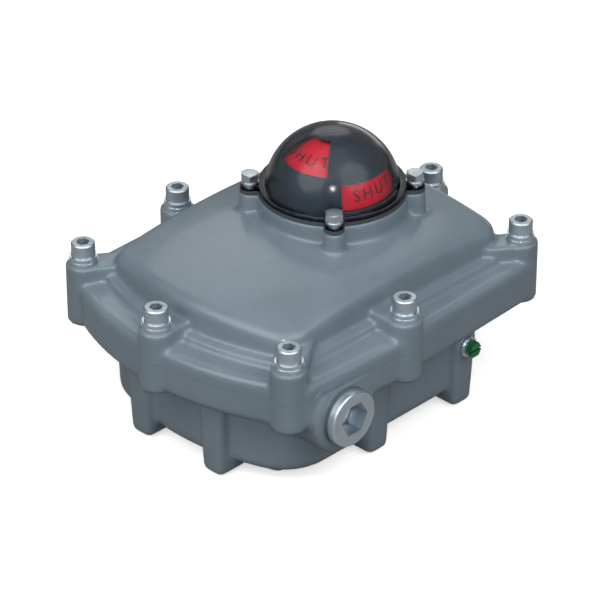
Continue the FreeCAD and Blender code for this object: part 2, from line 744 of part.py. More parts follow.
def cover():
    """The cast cover: crowned pillow on a ledge, flange, screw bosses, arms and dome collar."""
    piece = Piece("cover", merge=False)
    pillow = piece.sketch("pillow", offset="parting")
    arched(pillow, "pillow_half", "pillow_front", "pillow_back", "pillow_bow", "pillow_nose",
           "pillow_heel")
    piece.pad(pillow, "pillow_top - parting + 1", TaperAngle="-pillow_draft")
    crown = piece.sketch("crown", "XZ", "crown_forward")
    reach = "(1.5 * pillow_half)"
    edge = f"pillow_top - crown_radius + sqrt(crown_radius^2 - {reach}^2)"
    outline(crown, [(f"-{reach}", edge, "cw crown_radius"), (reach, edge),
                    (reach, "pillow_top + 30"), (f"-{reach}", "pillow_top + 30")])
    axis = crown.addGeometry(Part.LineSegment(
        Vector(-10, value("pillow_top - crown_length_radius"), 0),
        Vector(10, value("pillow_top - crown_length_radius"), 0)), True)
    crown.addConstraint(Sketcher.Constraint("Symmetric", axis, 1, axis, 2, -2))
    constrain(crown, "20", "Distance", axis)
    constrain(crown, "pillow_top - crown_length_radius", "DistanceY", -1, 1, axis, 1)
    piece.groove(crown, 40.0, "Axis0", Midplane=True)
    top = value("pillow_top - 15")
    piece.fillet("pillow_edge", "pillow_rounding",
                 lambda edge: edge.BoundBox.ZMin > top and not upright(edge))
    ledge = piece.sketch("ledge", offset="parting")
    arched(ledge, "pillow_half + ledge_width", "pillow_front + ledge_width",
           "pillow_back + ledge_width", "pillow_bow + ledge_width", "pillow_nose + ledge_width",
           "pillow_heel + ledge_width")
    piece.pad(ledge, "ledge_top - parting")
    half = value("pillow_half + ledge_width / 2")
    front = value("pillow_front + ledge_width / 2")
    back = value("pillow_back + ledge_width / 2")
    flat = at_level("ledge_top")
    piece.fillet("ledge_edge", "ledge_rounding", lambda edge: flat(edge) and outside(edge, half, front, back))
    flange = piece.sketch("flange", offset="parting")
    flange_outline(flange)
    piece.pad(flange, "cover_flange")
    piece.fillet("flange_corners", "flange_rounding", flange_corners)
    half = value("pillow_half + ledge_width + 1")
    front = value("pillow_front + ledge_width + 1")
    back = value("pillow_back + ledge_width + 1")
    rim = at_level("flange_top")
    piece.fillet("flange_rim", "rim_rounding", lambda edge: rim(edge) and outside(edge, half, front, back))
    bosses = piece.sketch("bosses", offset="parting")
    for x, y, _ in COVER_SCREWS:
        disc(bosses, x, y, "boss_radius")
    piece.pad(bosses, "boss_top - parting")
    arms = piece.sketch("arms", offset="parting")
    for x, y, direction in COVER_SCREWS:
        arm(arms, x, y, direction)
    piece.pad(arms, "boss_top - parting")
    collar = piece.sketch("collar", "XZ")
    outline(collar, [
        ("0", "ceiling"), ("collar_radius + collar_rounding", "ceiling"),
        ("collar_radius + collar_rounding", "pillow_top - collar_rounding", "cw 1.2 * collar_rounding"),
        ("collar_radius", "pillow_top + collar_rounding / 2"), ("collar_radius", "dome_seat"),
        ("0", "dome_seat")])
    piece.revolve(collar)
    posts = piece.sketch("posts", offset="dome_seat")
    for x, y in DOME_SCREWS:
        disc(posts, x, y, "post_radius")
    piece.pad(posts, "dome_seat - ceiling", Reversed=True, TaperAngle="post_draft")
    cavity = piece.sketch("cavity", offset="parting")
    arched(cavity, "pillow_half - cover_wall", "pillow_front - cover_wall",
           "pillow_back - cover_wall", "pillow_bow - cover_wall", "pillow_nose - cover_wall",
           "core_heel - housing_wall")
    piece.pocket(cavity, "low_ceiling - parting", Reversed=True, TaperAngle="-pillow_draft")
    step = piece.sketch("roof_step", offset="low_ceiling - 1")
    inset = "(cover_wall + roof_inset)"
    arched(step, f"pillow_half - {inset}", f"pillow_front - cover_wall - roof_inset_front",
           f"pillow_back - {inset}", f"pillow_bow - {inset}", "pillow_nose", "pillow_heel")
    piece.pocket(step, "roof_step + 1", Reversed=True)
    boss = piece.sketch("roof_boss", offset="spindle_bush_bottom")
    disc(boss, "0", "0", "roof_boss_radius")
    piece.pad(boss, "roof_boss_height + 1")
    bore = piece.sketch("spindle_bore", "XZ")
    outline(bore, [("0", "spindle_bush_bottom - 1"),
                   ("spindle_bush_outer + seat_clearance", "spindle_bush_bottom - 1"),
                   ("spindle_bush_outer + seat_clearance", "spindle_bush_top"),
                   ("well_radius", "spindle_bush_top"), ("well_radius", "dome_seat + 1"),
                   ("0", "dome_seat + 1")])
    piece.groove(bore)
    screw_holes(piece, "cover_screw_radius + hole_clearance", "boss_top",
                "boss_top - parting + 1")
    taps = piece.sketch("dome_taps", offset="dome_seat")
    for x, y in DOME_SCREWS:
        disc(taps, x, y, "dome_screw_radius + thread_clearance")
    piece.pocket(taps, "dome_screw_length")
    piece.merge_faces()
    return piece


def outside(edge, half, front, back):
    """Whether an edge lies outside a box in plan."""
    centre = edge.CenterOfMass
    return abs(centre.x) > half or centre.y > back or centre.y < -front or (
        edge.BoundBox.YMin < -front)


def arm(sketch, x, y, direction, length="arm_length", half="arm_half_width"):
    """Draw one arm, from a screw's axis inwards."""
    along = (f"cos({direction})", f"sin({direction})")
    corners = []
    for start, side in (("0", "-"), (length, "-"), (length, ""), ("0", "")):
        corners.append((f"({x}) + {start} * {along[0]} - {side}{half} * {along[1]}",
                        f"({y}) + {start} * {along[1]} + {side}{half} * {along[0]}"))
    outline(sketch, corners)


def ears(piece, level, thickness, radius):
    """Pad the four screw ears of a ring, each with a web to the ring."""
    rounds = piece.sketch("ears", offset=level)
    webs = piece.sketch("ear_webs", offset=level)
    for (x, y), angle in zip(DOME_SCREWS, (225, 315, 45, 135)):
        disc(rounds, x, y, radius)
        arm(webs, x, y, angle, "ear_web", f"({radius})")
    piece.pad(rounds, thickness)
    piece.pad(webs, thickness)


def cover_seal():
    """The O-ring cord in the housing's groove, a closed loop of round section."""
    piece = Piece("cover_seal")
    path = piece.sketch("path", offset="parting - seal_radius")
    seal_line(path, "seal_inset")
    section = piece.sketch("section", "YZ")
    disc(section, "seal_inset + core_back - housing_wall", "parting - seal_radius", "seal_radius")
    pipe = piece.body.newObject("PartDesign::AdditivePipe", "cover_seal_pipe")
    pipe.Profile = section
    pipe.Spine = (path, [f"Edge{index}" for index in range(1, path.GeometryCount + 1)])
    doc.recompute()
    return piece


def cap_screw():
    """One hexagon socket cap screw for the cover, head up, seated on its spring washer."""
    screw = Piece("cap_screw")
    profile = screw.sketch("profile", "XZ")
    chamfer = "cover_screw_radius / 6"
    top = "cover_head_height"
    outline(profile, [("0", "-cover_screw_length"), (f"cover_screw_radius - {chamfer}", "-cover_screw_length"),
                      ("cover_screw_radius", f"{chamfer} - cover_screw_length"),
                      ("cover_screw_radius", "0"), ("cover_head_radius", "0"),
                      ("cover_head_radius", f"{top} - {chamfer}"),
                      (f"cover_head_radius - {chamfer}", top), ("0", top)])
    screw.revolve(profile)
    key = screw.sketch("key", offset=top)
    hexagon(key, "0", "0", "cover_key_flats")
    screw.pocket(key, "cover_key_depth")
    return screw


def cover_fasteners():
    """The eight cover screws, each with a spring washer and a flat washer."""
    flat = Piece("flat_washer")
    sketch = flat.sketch("profile", "XZ")
    rectangle(sketch, "cover_screw_radius + hole_clearance", "cover_washer_radius", "0",
              "cover_washer_thickness")
    flat.revolve(sketch)
    spring = spring_washer("spring_washer", "cover_screw_radius + hole_clearance / 2",
                           "cover_spring_radius", "cover_spring_thickness")
    screw = cap_screw()
    levels = ("boss_top", "boss_top + cover_washer_thickness",
              "boss_top + cover_washer_thickness + cover_spring_thickness")
    labels = ("cover_flat_washers", "cover_spring_washers", "cover_screws")
    turns = (STRAIGHT, SPLIT_BACKWARDS, STRAIGHT)
    return [copies(label, source, [((x, y, level), turn) for x, y, _ in COVER_SCREWS])
            for label, source, level, turn in zip(labels, (flat, spring, screw), levels, turns)]


def spring_washer(label, inner, outer, thickness):
    """A split spring washer, pressed flat under its screw."""
    washer = Piece(label)
    sketch = washer.sketch("profile", "XZ")
    rectangle(sketch, inner, outer, "0", thickness)
    washer.revolve(sketch)
    split = washer.sketch("split")
    gap = f"({thickness}) / 3"
    outline(split, [(inner + " - 0.5", f"-{gap}"), (outer + " + 0.5", f"-{gap} + {gap}"),
                    (outer + " + 0.5", f"2 * {gap}"), (inner + " - 0.5", f"{gap}")])
    washer.pocket(split, f"({thickness})", Reversed=True)
    return washer


def dome_window():
    """The clear dome with its clamping flange and four ears."""
    piece = Piece("dome_window")
    inner = "(dome_radius - dome_wall)"
    recess = "(mask_inner + mask_flange_reach + mask_flange_thickness + hole_clearance)"
    recess_top = "gasket_top + mask_flange_thickness + axial_clearance"
    flange_touch = f"dome_centre + sqrt(dome_radius^2 - (dome_radius - dome_wall / 3)^2)"
    profile = piece.sketch("profile", "XZ")
    outline(profile, [
        (recess, "gasket_top"), ("dome_flange_radius", "gasket_top"),
        ("dome_flange_radius", "dome_flange_top"),
        ("sqrt(dome_radius^2 - (dome_flange_top - dome_centre)^2)", "dome_flange_top", "dome_radius"),
        ("0", "dome_centre + dome_radius"),
        ("0", f"dome_centre + {inner}", f"cw {inner}"),
        (f"sqrt({inner}^2 - ({recess_top} - dome_centre)^2)", recess_top),
        (recess, recess_top)])
    piece.revolve(profile)
    ears(piece, "gasket_top", "dome_flange_thickness", "ear_radius")
    holes = piece.sketch("holes", offset="dome_flange_top")
    for x, y in DOME_SCREWS:
        disc(holes, x, y, "dome_screw_radius + hole_clearance")
    piece.pocket(holes, "2 * dome_flange_thickness")
    return piece


def dome_gasket():
    """The black gasket under the dome, with the same four ears."""
    piece = Piece("dome_gasket")
    profile = piece.sketch("profile", "XZ")
    rectangle(profile, "gasket_bore", "gasket_radius", "dome_seat", "gasket_top")
    piece.revolve(profile)
    ears(piece, "dome_seat", "gasket_thickness", "ear_radius + 0.3")
    holes = piece.sketch("holes", offset="gasket_top")
    for x, y in DOME_SCREWS:
        disc(holes, x, y, "dome_screw_radius + hole_clearance")
    piece.pocket(holes, "2 * gasket_thickness")
    return piece


def dome_fasteners():
    """The four hexagon screws of the dome with their washers."""
    flat = Piece("dome_flat")
    sketch = flat.sketch("profile", "XZ")
    rectangle(sketch, "dome_screw_radius + hole_clearance / 2", "dome_washer_radius", "0",
              "dome_washer_thickness")
    flat.revolve(sketch)
    spring = spring_washer("dome_spring", "dome_screw_radius + hole_clearance / 2",
                           "dome_spring_radius", "dome_spring_thickness")
    screw = Piece("dome_screw")
    shank = screw.sketch("shank")
    disc(shank, "0", "0", "dome_screw_radius")
    screw.pad(shank, "dome_screw_length", Reversed=True)
    head = screw.sketch("head")
    hexagon(head, "0", "0", "dome_head_flats")
    screw.pad(head, "dome_head_height")
    crown = screw.sketch("crown", "XZ")
    corner = "dome_head_flats / (2 * cos(30))"
    outline(crown, [("dome_head_flats / 2 - 0.2", "dome_head_height"),
                    (f"{corner} + 0.5", f"dome_head_height - 0.6 * ({corner} - dome_head_flats / 2 + 0.7)"),
                    (f"{corner} + 0.5", "dome_head_height")])
    screw.groove(crown)
    levels = ("dome_flange_top", "dome_flange_top + dome_washer_thickness",
              "dome_flange_top + dome_washer_thickness + dome_spring_thickness")
    labels = ("dome_flat_washers", "dome_spring_washers", "dome_screws")
    turns = (STRAIGHT, SPLIT_BACKWARDS, CORNER_FORWARDS)
    return [copies(label, source, [((x, y, level), turn) for x, y in DOME_SCREWS])
            for label, source, level, turn in zip(labels, (flat, spring, screw), levels, turns)]


def indicator_shield():
    """The black mask under the dome, with two low windows (+X, -X) and two high ones (+Y, -Y)."""
    piece = Piece("indicator_shield")
    profile = piece.sketch("profile", "YZ")
    reach = "(mask_inner + mask_flange_reach + mask_flange_thickness)"
    level = "gasket_top"
    top = "gasket_top + mask_flange_thickness"
    outline(profile, [
        (f"sqrt(mask_inner^2 - ({level} - dome_centre)^2)", level), (reach, level), (reach, top),
        (f"sqrt(mask_outer^2 - ({top} - dome_centre)^2)", top, "mask_outer"),
        ("0", "dome_centre + mask_outer"), ("0", "dome_centre + mask_inner", "cw mask_inner")])
    piece.revolve(profile)
    for name, plane, low, high in (("low", "XZ", "low_window_start", "low_window_end"),
                                   ("high", "YZ", "high_window_start", "high_window_end")):
        window = piece.sketch(f"{name}_window", plane)
        sector(window, "dome_centre", "mask_inner - 1", "mask_outer + 1", low, high)
        cut = piece.groove(window, "2 * window_half_angle", Midplane=True)
        piece.pattern(cut, 2)
    return piece


def indicator_rotor():
    """The domed rotor that carries the coloured panels, on the spindle's neck."""
    inner = "(rotor_radius - rotor_wall)"
    neck = "(spindle_neck_radius + seat_clearance)"
    hub_meets = f"dome_centre + sqrt({inner}^2 - rotor_hub_radius^2)"
    sink = "(rotor_screw_head_radius + 0.6)"
    sink_floor = "(spindle_top + rotor_web - rotor_screw_head_height - 1)"
    screw = "(rotor_screw_radius + hole_clearance / 2)"
    return turned("indicator_rotor", [
        (neck, "dome_centre + rotor_hub_drop"), ("rotor_hub_radius", "dome_centre + rotor_hub_drop"),
        ("rotor_hub_radius", hub_meets, f"cw {inner}"), (f"sqrt({inner}^2 - (rotor_rim - dome_centre)^2)", "rotor_rim"),
        ("sqrt(rotor_radius^2 - (rotor_rim - dome_centre)^2)", "rotor_rim", "rotor_radius"),
        (sink, f"dome_centre + sqrt(rotor_radius^2 - {sink}^2)"), (sink, sink_floor),
        (screw, sink_floor), (screw, "spindle_top + axial_clearance"),
        (neck, "spindle_top + axial_clearance")])


def indicator_panels():
    """Coloured panels on the rotor: red ones under the windows when shut, green ones when open."""
    split = ("panel_split - panel_split_gap / 2", "panel_split + panel_split_gap / 2")
    low = ("low_panel_start", split[0])
    high = (split[1], "high_panel_end")
    pieces = []
    for label, bands in (("shut_panels", (("XZ", low), ("YZ", high))),
                         ("open_panels", (("YZ", low), ("XZ", high)))):
        piece = Piece(label)
        for plane, (start, end) in bands:
            sketch = piece.sketch(f"band_{plane}", plane)
            sector(sketch, "dome_centre", "rotor_radius + seat_clearance",
                   "rotor_radius + panel_thickness", start, end)
            half = piece.revolve(sketch, "2 * panel_half_angle", Midplane=True)
            piece.pattern(half, 2)
        pieces.append(piece)
    return pieces


def rotor_screw():
    """The screw that holds the rotor on the spindle."""
    top = "(spindle_top + rotor_web - 1)"
    seat = f"({top} - rotor_screw_head_height)"
    piece = turned("rotor_screw", [
        ("0", "spindle_top - rotor_screw_grip"), ("rotor_screw_radius", "spindle_top - rotor_screw_grip"),
        ("rotor_screw_radius", seat), ("rotor_screw_head_radius", seat),
        ("rotor_screw_head_radius", top), ("0", top)])
    slot = piece.sketch("slot", offset=top)
    rectangle(slot, "-rotor_screw_head_radius - 1", "rotor_screw_head_radius + 1", "-0.5", "0.5")
    piece.pocket(slot, "rotor_screw_head_height / 2")
    return piece


def drive_shaft():
    """The lower shaft: driving tang, stub, journal, thrust collar, cam seat and coupling slot."""
    groove = "(journal_radius - ring_groove)"
    ring_low = "(recess_depth - 2 * ring_thickness - 2 * axial_clearance)"
    seal_low = "((recess_depth + bush_top) / 2 - oring_radius - axial_clearance)"
    seal_high = f"({seal_low} + 2 * oring_radius + 2 * axial_clearance)"
    seal_root = "(journal_radius - 2 * oring_radius)"
    piece = turned("drive_shaft", [
        ("0", "-stub_length"), ("tang_radius - tang_chamfer", "-stub_length"),
        ("tang_radius", "tang_chamfer - stub_length"), ("tang_radius", "tang_length - stub_length"),
        ("stub_radius", "tang_length - stub_length"), ("stub_radius", f"{ring_low} - 1"),
        ("journal_radius", f"{ring_low} - 1"), ("journal_radius", ring_low), (groove, ring_low),
        (groove, f"{ring_low} + ring_thickness"), ("journal_radius", f"{ring_low} + ring_thickness"),
        ("journal_radius", seal_low), (seal_root, seal_low), (seal_root, seal_high),
        ("journal_radius", seal_high), ("journal_radius", "collar_bottom"),
        ("shaft_collar_radius", "collar_bottom"), ("shaft_collar_radius", "collar_top"),
        ("cam_seat_radius", "collar_top"), ("cam_seat_radius", "cam_stack_top"),
        ("cam_seat_radius - ring_groove", "cam_stack_top"),
        ("cam_seat_radius - ring_groove", "cam_stack_top + ring_thickness"),
        ("cam_seat_radius", "cam_stack_top + ring_thickness"), ("cam_seat_radius", "shaft_height"),
        ("0", "shaft_height")])
    flats = piece.sketch("tang_flats", offset="tang_length - stub_length")
    for low, high in (("tang_thickness / 2", "stub_radius + 1"),
                      ("-stub_radius - 1", "-tang_thickness / 2")):
        rectangle(flats, "-stub_radius - 1", "stub_radius + 1", low, high)
    piece.pocket(flats, "tang_length")
    slot = piece.sketch("slot", offset="shaft_height")
    rectangle(slot, "-cam_seat_radius - 1", "cam_seat_radius + 1",
              "-spindle_tang_thickness / 2 - seat_clearance",
              "spindle_tang_thickness / 2 + seat_clearance")
    piece.pocket(slot, "spindle_tang_length + axial_clearance")
    return piece


def spindle():
    """The indicator's spindle through the cover, driven by a tang in the shaft's slot."""
    start = "(shaft_height + 2 * axial_clearance)"
    collar_high = "(spindle_bush_bottom - bush_flange_thickness - axial_clearance)"
    collar_low = f"({collar_high} - spindle_collar_thickness)"
    seal_low = "((spindle_bush_bottom + spindle_bush_top) / 2 - oring_radius - axial_clearance)"
    seal_high = f"({seal_low} + 2 * oring_radius + 2 * axial_clearance)"
    seal_root = "(spindle_radius - 2 * oring_radius)"
    ring_low = "(spindle_bush_top + axial_clearance)"
    ring_high = f"({ring_low} + ring_thickness)"
    piece = turned("indicator_spindle", [
        ("0", f"{start} - spindle_tang_length"), ("spindle_radius", f"{start} - spindle_tang_length"),
        ("spindle_radius", collar_low), ("spindle_collar_radius", collar_low),
        ("spindle_collar_radius", collar_high), ("spindle_radius", collar_high),
        ("spindle_radius", seal_low), (seal_root, seal_low), (seal_root, seal_high),
        ("spindle_radius", seal_high), ("spindle_radius", ring_low),
        ("spindle_radius - ring_groove", ring_low), ("spindle_radius - ring_groove", ring_high),
        ("spindle_radius", ring_high), ("spindle_radius", "spindle_top - spindle_neck_length"),
        ("spindle_neck_radius", "spindle_top - spindle_neck_length"),
        ("spindle_neck_radius", "spindle_top"),
        ("rotor_screw_radius + thread_clearance", "spindle_top"),
        ("rotor_screw_radius + thread_clearance", "spindle_top - rotor_screw_grip - 1"),
        ("0", "spindle_top - rotor_screw_grip - 1")])
    flats = piece.sketch("tang_flats", offset=start)
    for low, high in (("spindle_tang_thickness / 2", "spindle_radius + 1"),
                      ("-spindle_radius - 1", "-spindle_tang_thickness / 2")):
        rectangle(flats, "-spindle_radius - 1", "spindle_radius + 1", low, high)
    piece.pocket(flats, "spindle_tang_length")
    return piece


def bearings():
    """Bushes, washers, retaining rings and O-rings of the shaft and the spindle."""
    bore = "journal_radius + running_clearance"
    bush = turned("shaft_bush", [
        (bore, "recess_depth"), ("bush_outer", "recess_depth"), ("bush_outer", "bush_top"),
        ("bush_outer + bush_flange", "bush_top"), ("bush_outer + bush_flange", "thrust_level"),
        (bore, "thrust_level")])
    thrust = ring("thrust_washer", bore, "thrust_washer_radius", "thrust_level",
                  "thrust_level + thrust_washer_thickness")
    washer = ring("retaining_washer", bore, "ring_radius + 1",
                  "recess_depth - ring_thickness - axial_clearance / 2", "recess_depth - axial_clearance / 2")
    ring_low = "recess_depth - 2 * ring_thickness - 2 * axial_clearance"
    circlip = retaining_ring("shaft_circlip", "journal_radius - ring_groove", "ring_radius", ring_low)
    seal_level = "(recess_depth + bush_top) / 2"
    shaft_seal = o_ring("shaft_seal", "journal_radius - oring_radius", seal_level)
    spindle_bore = "spindle_radius + running_clearance"
    flange_low = "spindle_bush_bottom - bush_flange_thickness"
    spindle_bush = turned("spindle_bush", [
        (spindle_bore, flange_low), ("spindle_bush_outer + bush_flange", flange_low),
        ("spindle_bush_outer + bush_flange", "spindle_bush_bottom"),
        ("spindle_bush_outer", "spindle_bush_bottom"), ("spindle_bush_outer", "spindle_bush_top"),
        (spindle_bore, "spindle_bush_top")])
    spindle_circlip = retaining_ring("spindle_circlip", "spindle_radius - ring_groove",
                                     "spindle_ring_radius", "spindle_bush_top + axial_clearance")
    spindle_seal = o_ring("spindle_seal", "spindle_radius - oring_radius",
                          "(spindle_bush_bottom + spindle_bush_top) / 2")
    return [bush, thrust, washer, circlip, shaft_seal, spindle_bush, spindle_circlip, spindle_seal]


def retaining_ring(label, inner, outer, low):
    """An open retaining ring that snaps into a groove."""
    piece = ring(label, f"{inner} + seat_clearance", outer, low, f"{low} + ring_thickness")
    mouth = piece.sketch("mouth", offset=low)
    rectangle(mouth, f"-({inner}) / 2", f"({inner}) / 2", "0", f"{outer} + 1")
    piece.pocket(mouth, "ring_thickness", Reversed=True)
    return piece


def o_ring(label, radius, level):
    """A round cord ring about the shaft axis."""
    piece = Piece(label)
    section = piece.sketch("section", "XZ")
    disc(section, radius, level, "oring_radius")
    piece.revolve(section)
    return piece


def lever_angle(pressed):
    """The lever's angle from +Y towards the shaft, in degrees."""
    return "lever_pressed_angle" if pressed else "(lever_pressed_angle + lever_stroke)"


def roller_place(pressed):
    """The roller's axis in plan, as formulas."""
    angle = lever_angle(pressed)
    return (f"(pivot_across - lever_arm * sin({angle}))",
            f"(lever_arm * cos({angle}) - pivot_along)")


def cam(label, low, disc_low, pressed_at_rest):
    """A cam: hub and disc with an even ramp, so that the lever's angle follows the shaft's."""
    hub = Part.makeCylinder(value("cam_hub_radius"), value("cam_hub_height"),
                            Vector(0, 0, value(low)))
    across, along, arm_length = value("pivot_across"), value("pivot_along"), value("lever_arm")
    reach = value("roller_radius + roller_gap")
    start, stroke = value("lever_pressed_angle"), value("lever_stroke")
    quarter, overrun, steps = 90, 10, 24
    ramp = []
    for step in range(steps + 1):
        turn = -overrun + (quarter + 2 * overrun) * step / steps
        share = min(max(turn / quarter, 0), 1)
        if not pressed_at_rest:
            share = 1 - share
        lever = math.radians(start + stroke * share)
        centre = Vector(across - arm_length * math.sin(lever), arm_length * math.cos(lever) - along, 0)
        surface = centre * ((centre.Length - reach) / centre.Length)
        ramp.append(FreeCAD.Rotation(Vector(0, 0, 1), -turn).multVec(surface))
    curve = Part.BSplineCurve()
    curve.interpolate(ramp)
    base = value("cam_base_radius")
    first, last = ramp[0], ramp[-1]
    inner = [point * (base / point.Length) for point in (first, last)]
    back = FreeCAD.Rotation(Vector(0, 0, 1), 180).multVec((first + last).normalize() * base)
    edges = [curve.toShape(), Part.makeLine(last, inner[1]),
             Part.Arc(inner[1], back, inner[0]).toShape(), Part.makeLine(inner[0], first)]
    face = Part.Face(Part.Wire(Part.__sortEdges__(edges)))
    face.translate(Vector(0, 0, value(disc_low)))
    disc_shape = face.extrude(Vector(0, 0, value("cam_width")))
    height = value("cam_stack_top") - value("collar_top") + 2
    bore = Part.makeCylinder(value("cam_seat_radius + seat_clearance"), height,
                             Vector(0, 0, value("collar_top") - 1))
    solid = disc_shape.fuse(hub).cut(bore).removeSplitter()
    feature = doc.addObject("Part::Feature", label)
    feature.Label = label
    feature.Shape = solid
    return feature


def cams():
    """Both cams, the spacer between them and the ring on top."""
    low = cam("low_cam", "collar_top", "low_cam_start", True)
    high = cam("high_cam", "high_cam_start + cam_width", "high_cam_start", False)
    spacer = ring("cam_spacer", "cam_seat_radius + seat_clearance", "cam_hub_radius - 1",
                  "low_cam_start + cam_width", "high_cam_start")
    circlip = retaining_ring("cam_circlip", "cam_seat_radius - ring_groove", "ring_radius - 0.5",
                             "cam_stack_top")
    return [low, high, spacer, circlip]


def microswitch(label, middle):
    """A microswitch body with its lever ears, plunger bore, screw holes and three terminals."""
    piece = Piece(label)
    low = f"({middle} - switch_height / 2)"
    first, last = "(-pivot_inset - pivot_along)", "(switch_length - pivot_inset - pivot_along)"
    case = piece.sketch("case", offset=low)
    rectangle(case, "switch_face", "switch_face + switch_depth", first, last)
    piece.pad(case, "switch_height")
    piece.fillet("case_edges", "switch_rounding", upright)
    ears = piece.sketch("ears", offset=low)
    rectangle(ears, "pivot_across - lever_eye_radius - 0.4", "switch_face + 1",
              "-pivot_along - lever_eye_radius - 0.5", "-pivot_along + lever_eye_radius + 0.5")
    piece.pad(ears, "switch_height")
    between = piece.sketch("between_ears", offset=f"{low} + 1.5")
    rectangle(between, "pivot_across - lever_eye_radius - 1", "switch_face",
              "-pivot_along - lever_eye_radius - 1", "-pivot_along + lever_eye_radius + 1")
    piece.pocket(between, "switch_height - 3", Reversed=True)
    pivot = piece.sketch("pivot_hole", offset=low)
    disc(pivot, "pivot_across", "-pivot_along", "pivot_pin_radius + seat_clearance")
    piece.pocket(pivot, "switch_height", Reversed=True)
    bore = piece.sketch("plunger_bore", "YZ", "switch_face")
    disc(bore, "plunger_offset - pivot_along", middle, "plunger_radius + running_clearance")
    piece.pocket(bore, "plunger_length", Reversed=True)
    holes = piece.sketch("holes", offset=low)
    for x, y in SWITCH_HOLES:
        disc(holes, x, y, "switch_screw_radius + seat_clearance")
    piece.pocket(holes, "switch_height", Reversed=True)
    tabs = piece.sketch("tabs", offset=f"{middle} - 2.4")
    for place in ("0.25", "0.55", "0.85"):
        rectangle(tabs, "switch_face + switch_depth - 1", "switch_face + switch_depth + 4.5",
                  f"{first} + {place} * switch_length - 0.4", f"{first} + {place} * switch_length + 0.4")
    piece.pad(tabs, "4.8")
    return piece


def lever_set(name, middle, pressed):
    """Lever, roller, roller pin, pivot pin and plunger of one microswitch."""
    angle = lever_angle(pressed)
    tip_x, tip_y = roller_place(pressed)
    along = (f"-sin({angle})", f"cos({angle})")
    side = (f"cos({angle})", f"sin({angle})")
    pivot = ("pivot_across", "-pivot_along")

    def spot(reach, offset):
        return tuple(f"{pivot[axis]} + ({reach}) * ({along[axis]}) + ({offset}) * ({side[axis]})"
                     for axis in range(2))

    lever = Piece(f"{name}_lever")
    fork = "(roller_width / 2 + 0.2)"
    eye = lever.sketch("eye", offset=f"{middle} - lever_width / 2")
    disc(eye, *pivot, "lever_eye_radius")
    lever.pad(eye, "lever_width")
    blade = lever.sketch("blade", offset=f"{middle} - lever_width / 2")
    blade_end = "(lever_arm - roller_radius - 0.6)"
    outline(blade, [spot("0", "-lever_thickness / 2"), spot(blade_end, "-lever_thickness / 2"),
                    spot(blade_end, "lever_thickness / 2"), spot("0", "lever_thickness / 2")])
    lever.pad(blade, "lever_width")
    cheek_start = "(lever_arm - roller_radius - 1.6)"
    for cheek, level in (("low", f"{middle} - {fork} - lever_thickness"), ("high", f"{middle} + {fork}")):
        sketch = lever.sketch(f"{cheek}_cheek", offset=level)
        outline(sketch, [spot(cheek_start, "-lever_thickness / 2"), spot("lever_arm", "-roller_pin_radius - 0.5"),
                         spot("lever_arm + 1.2", "0"), spot("lever_arm", "roller_pin_radius + 0.5"),
                         spot(cheek_start, "lever_thickness / 2")])
        lever.pad(sketch, "lever_thickness")
    holes = lever.sketch("holes", offset=f"{middle} - {fork} - lever_thickness - 1")
    disc(holes, *pivot, "pivot_pin_radius + running_clearance")
    disc(holes, tip_x, tip_y, "roller_pin_radius + seat_clearance")
    lever.pocket(holes, f"2 * ({fork} + lever_thickness + 1)", Reversed=True)

    roller = tube(f"{name}_roller", tip_x, tip_y, "roller_pin_radius + running_clearance",
                  "roller_radius", f"{middle} - roller_width / 2", "roller_width")
    roller_pin = tube(f"{name}_roller_pin", tip_x, tip_y, None, "roller_pin_radius",
                      f"{middle} - {fork} - lever_thickness", f"2 * ({fork} + lever_thickness)")
    pivot_pin = tube(f"{name}_pivot_pin", *pivot, None, "pivot_pin_radius",
                     f"{middle} - switch_height / 2", "switch_height")
    plunger = Piece(f"{name}_plunger")
    reach = f"(lever_thickness / 2 + plunger_gap + plunger_radius - plunger_offset * sin({angle}))"
    centre = f"(pivot_across + {reach} / cos({angle}))"
    axis_y = "(plunger_offset - pivot_along)"
    sketch = plunger.sketch("profile", offset=middle)
    outline(sketch, [
        (f"{centre} - plunger_radius", axis_y), (f"{centre} + plunger_length - plunger_radius", axis_y),
        (f"{centre} + plunger_length - plunger_radius", f"{axis_y} + plunger_radius"),
        (centre, f"{axis_y} + plunger_radius", "plunger_radius")])
    line = sketch.addGeometry(Part.LineSegment(Vector(value(centre), value(axis_y), 0),
                                               Vector(value(centre) + 1, value(axis_y), 0)), True)
    constrain(sketch, centre, "DistanceX", -1, 1, line, 1)
    constrain(sketch, axis_y, "DistanceY", -1, 1, line, 1)
    sketch.addConstraint(Sketcher.Constraint("Horizontal", line))
    constrain(sketch, "plunger_radius", "Distance", line)
    plunger.revolve(sketch, axis="Axis0")
    return [lever, roller, roller_pin, pivot_pin, plunger]


def tube(label, x, y, inner, outer, low, height):
    """An upright pin or tube."""
    piece = Piece(label)
    sketch = piece.sketch("section", offset=low)
    disc(sketch, x, y, outer)
    if inner:
        disc(sketch, x, y, inner)
    piece.pad(sketch, height)
    return piece


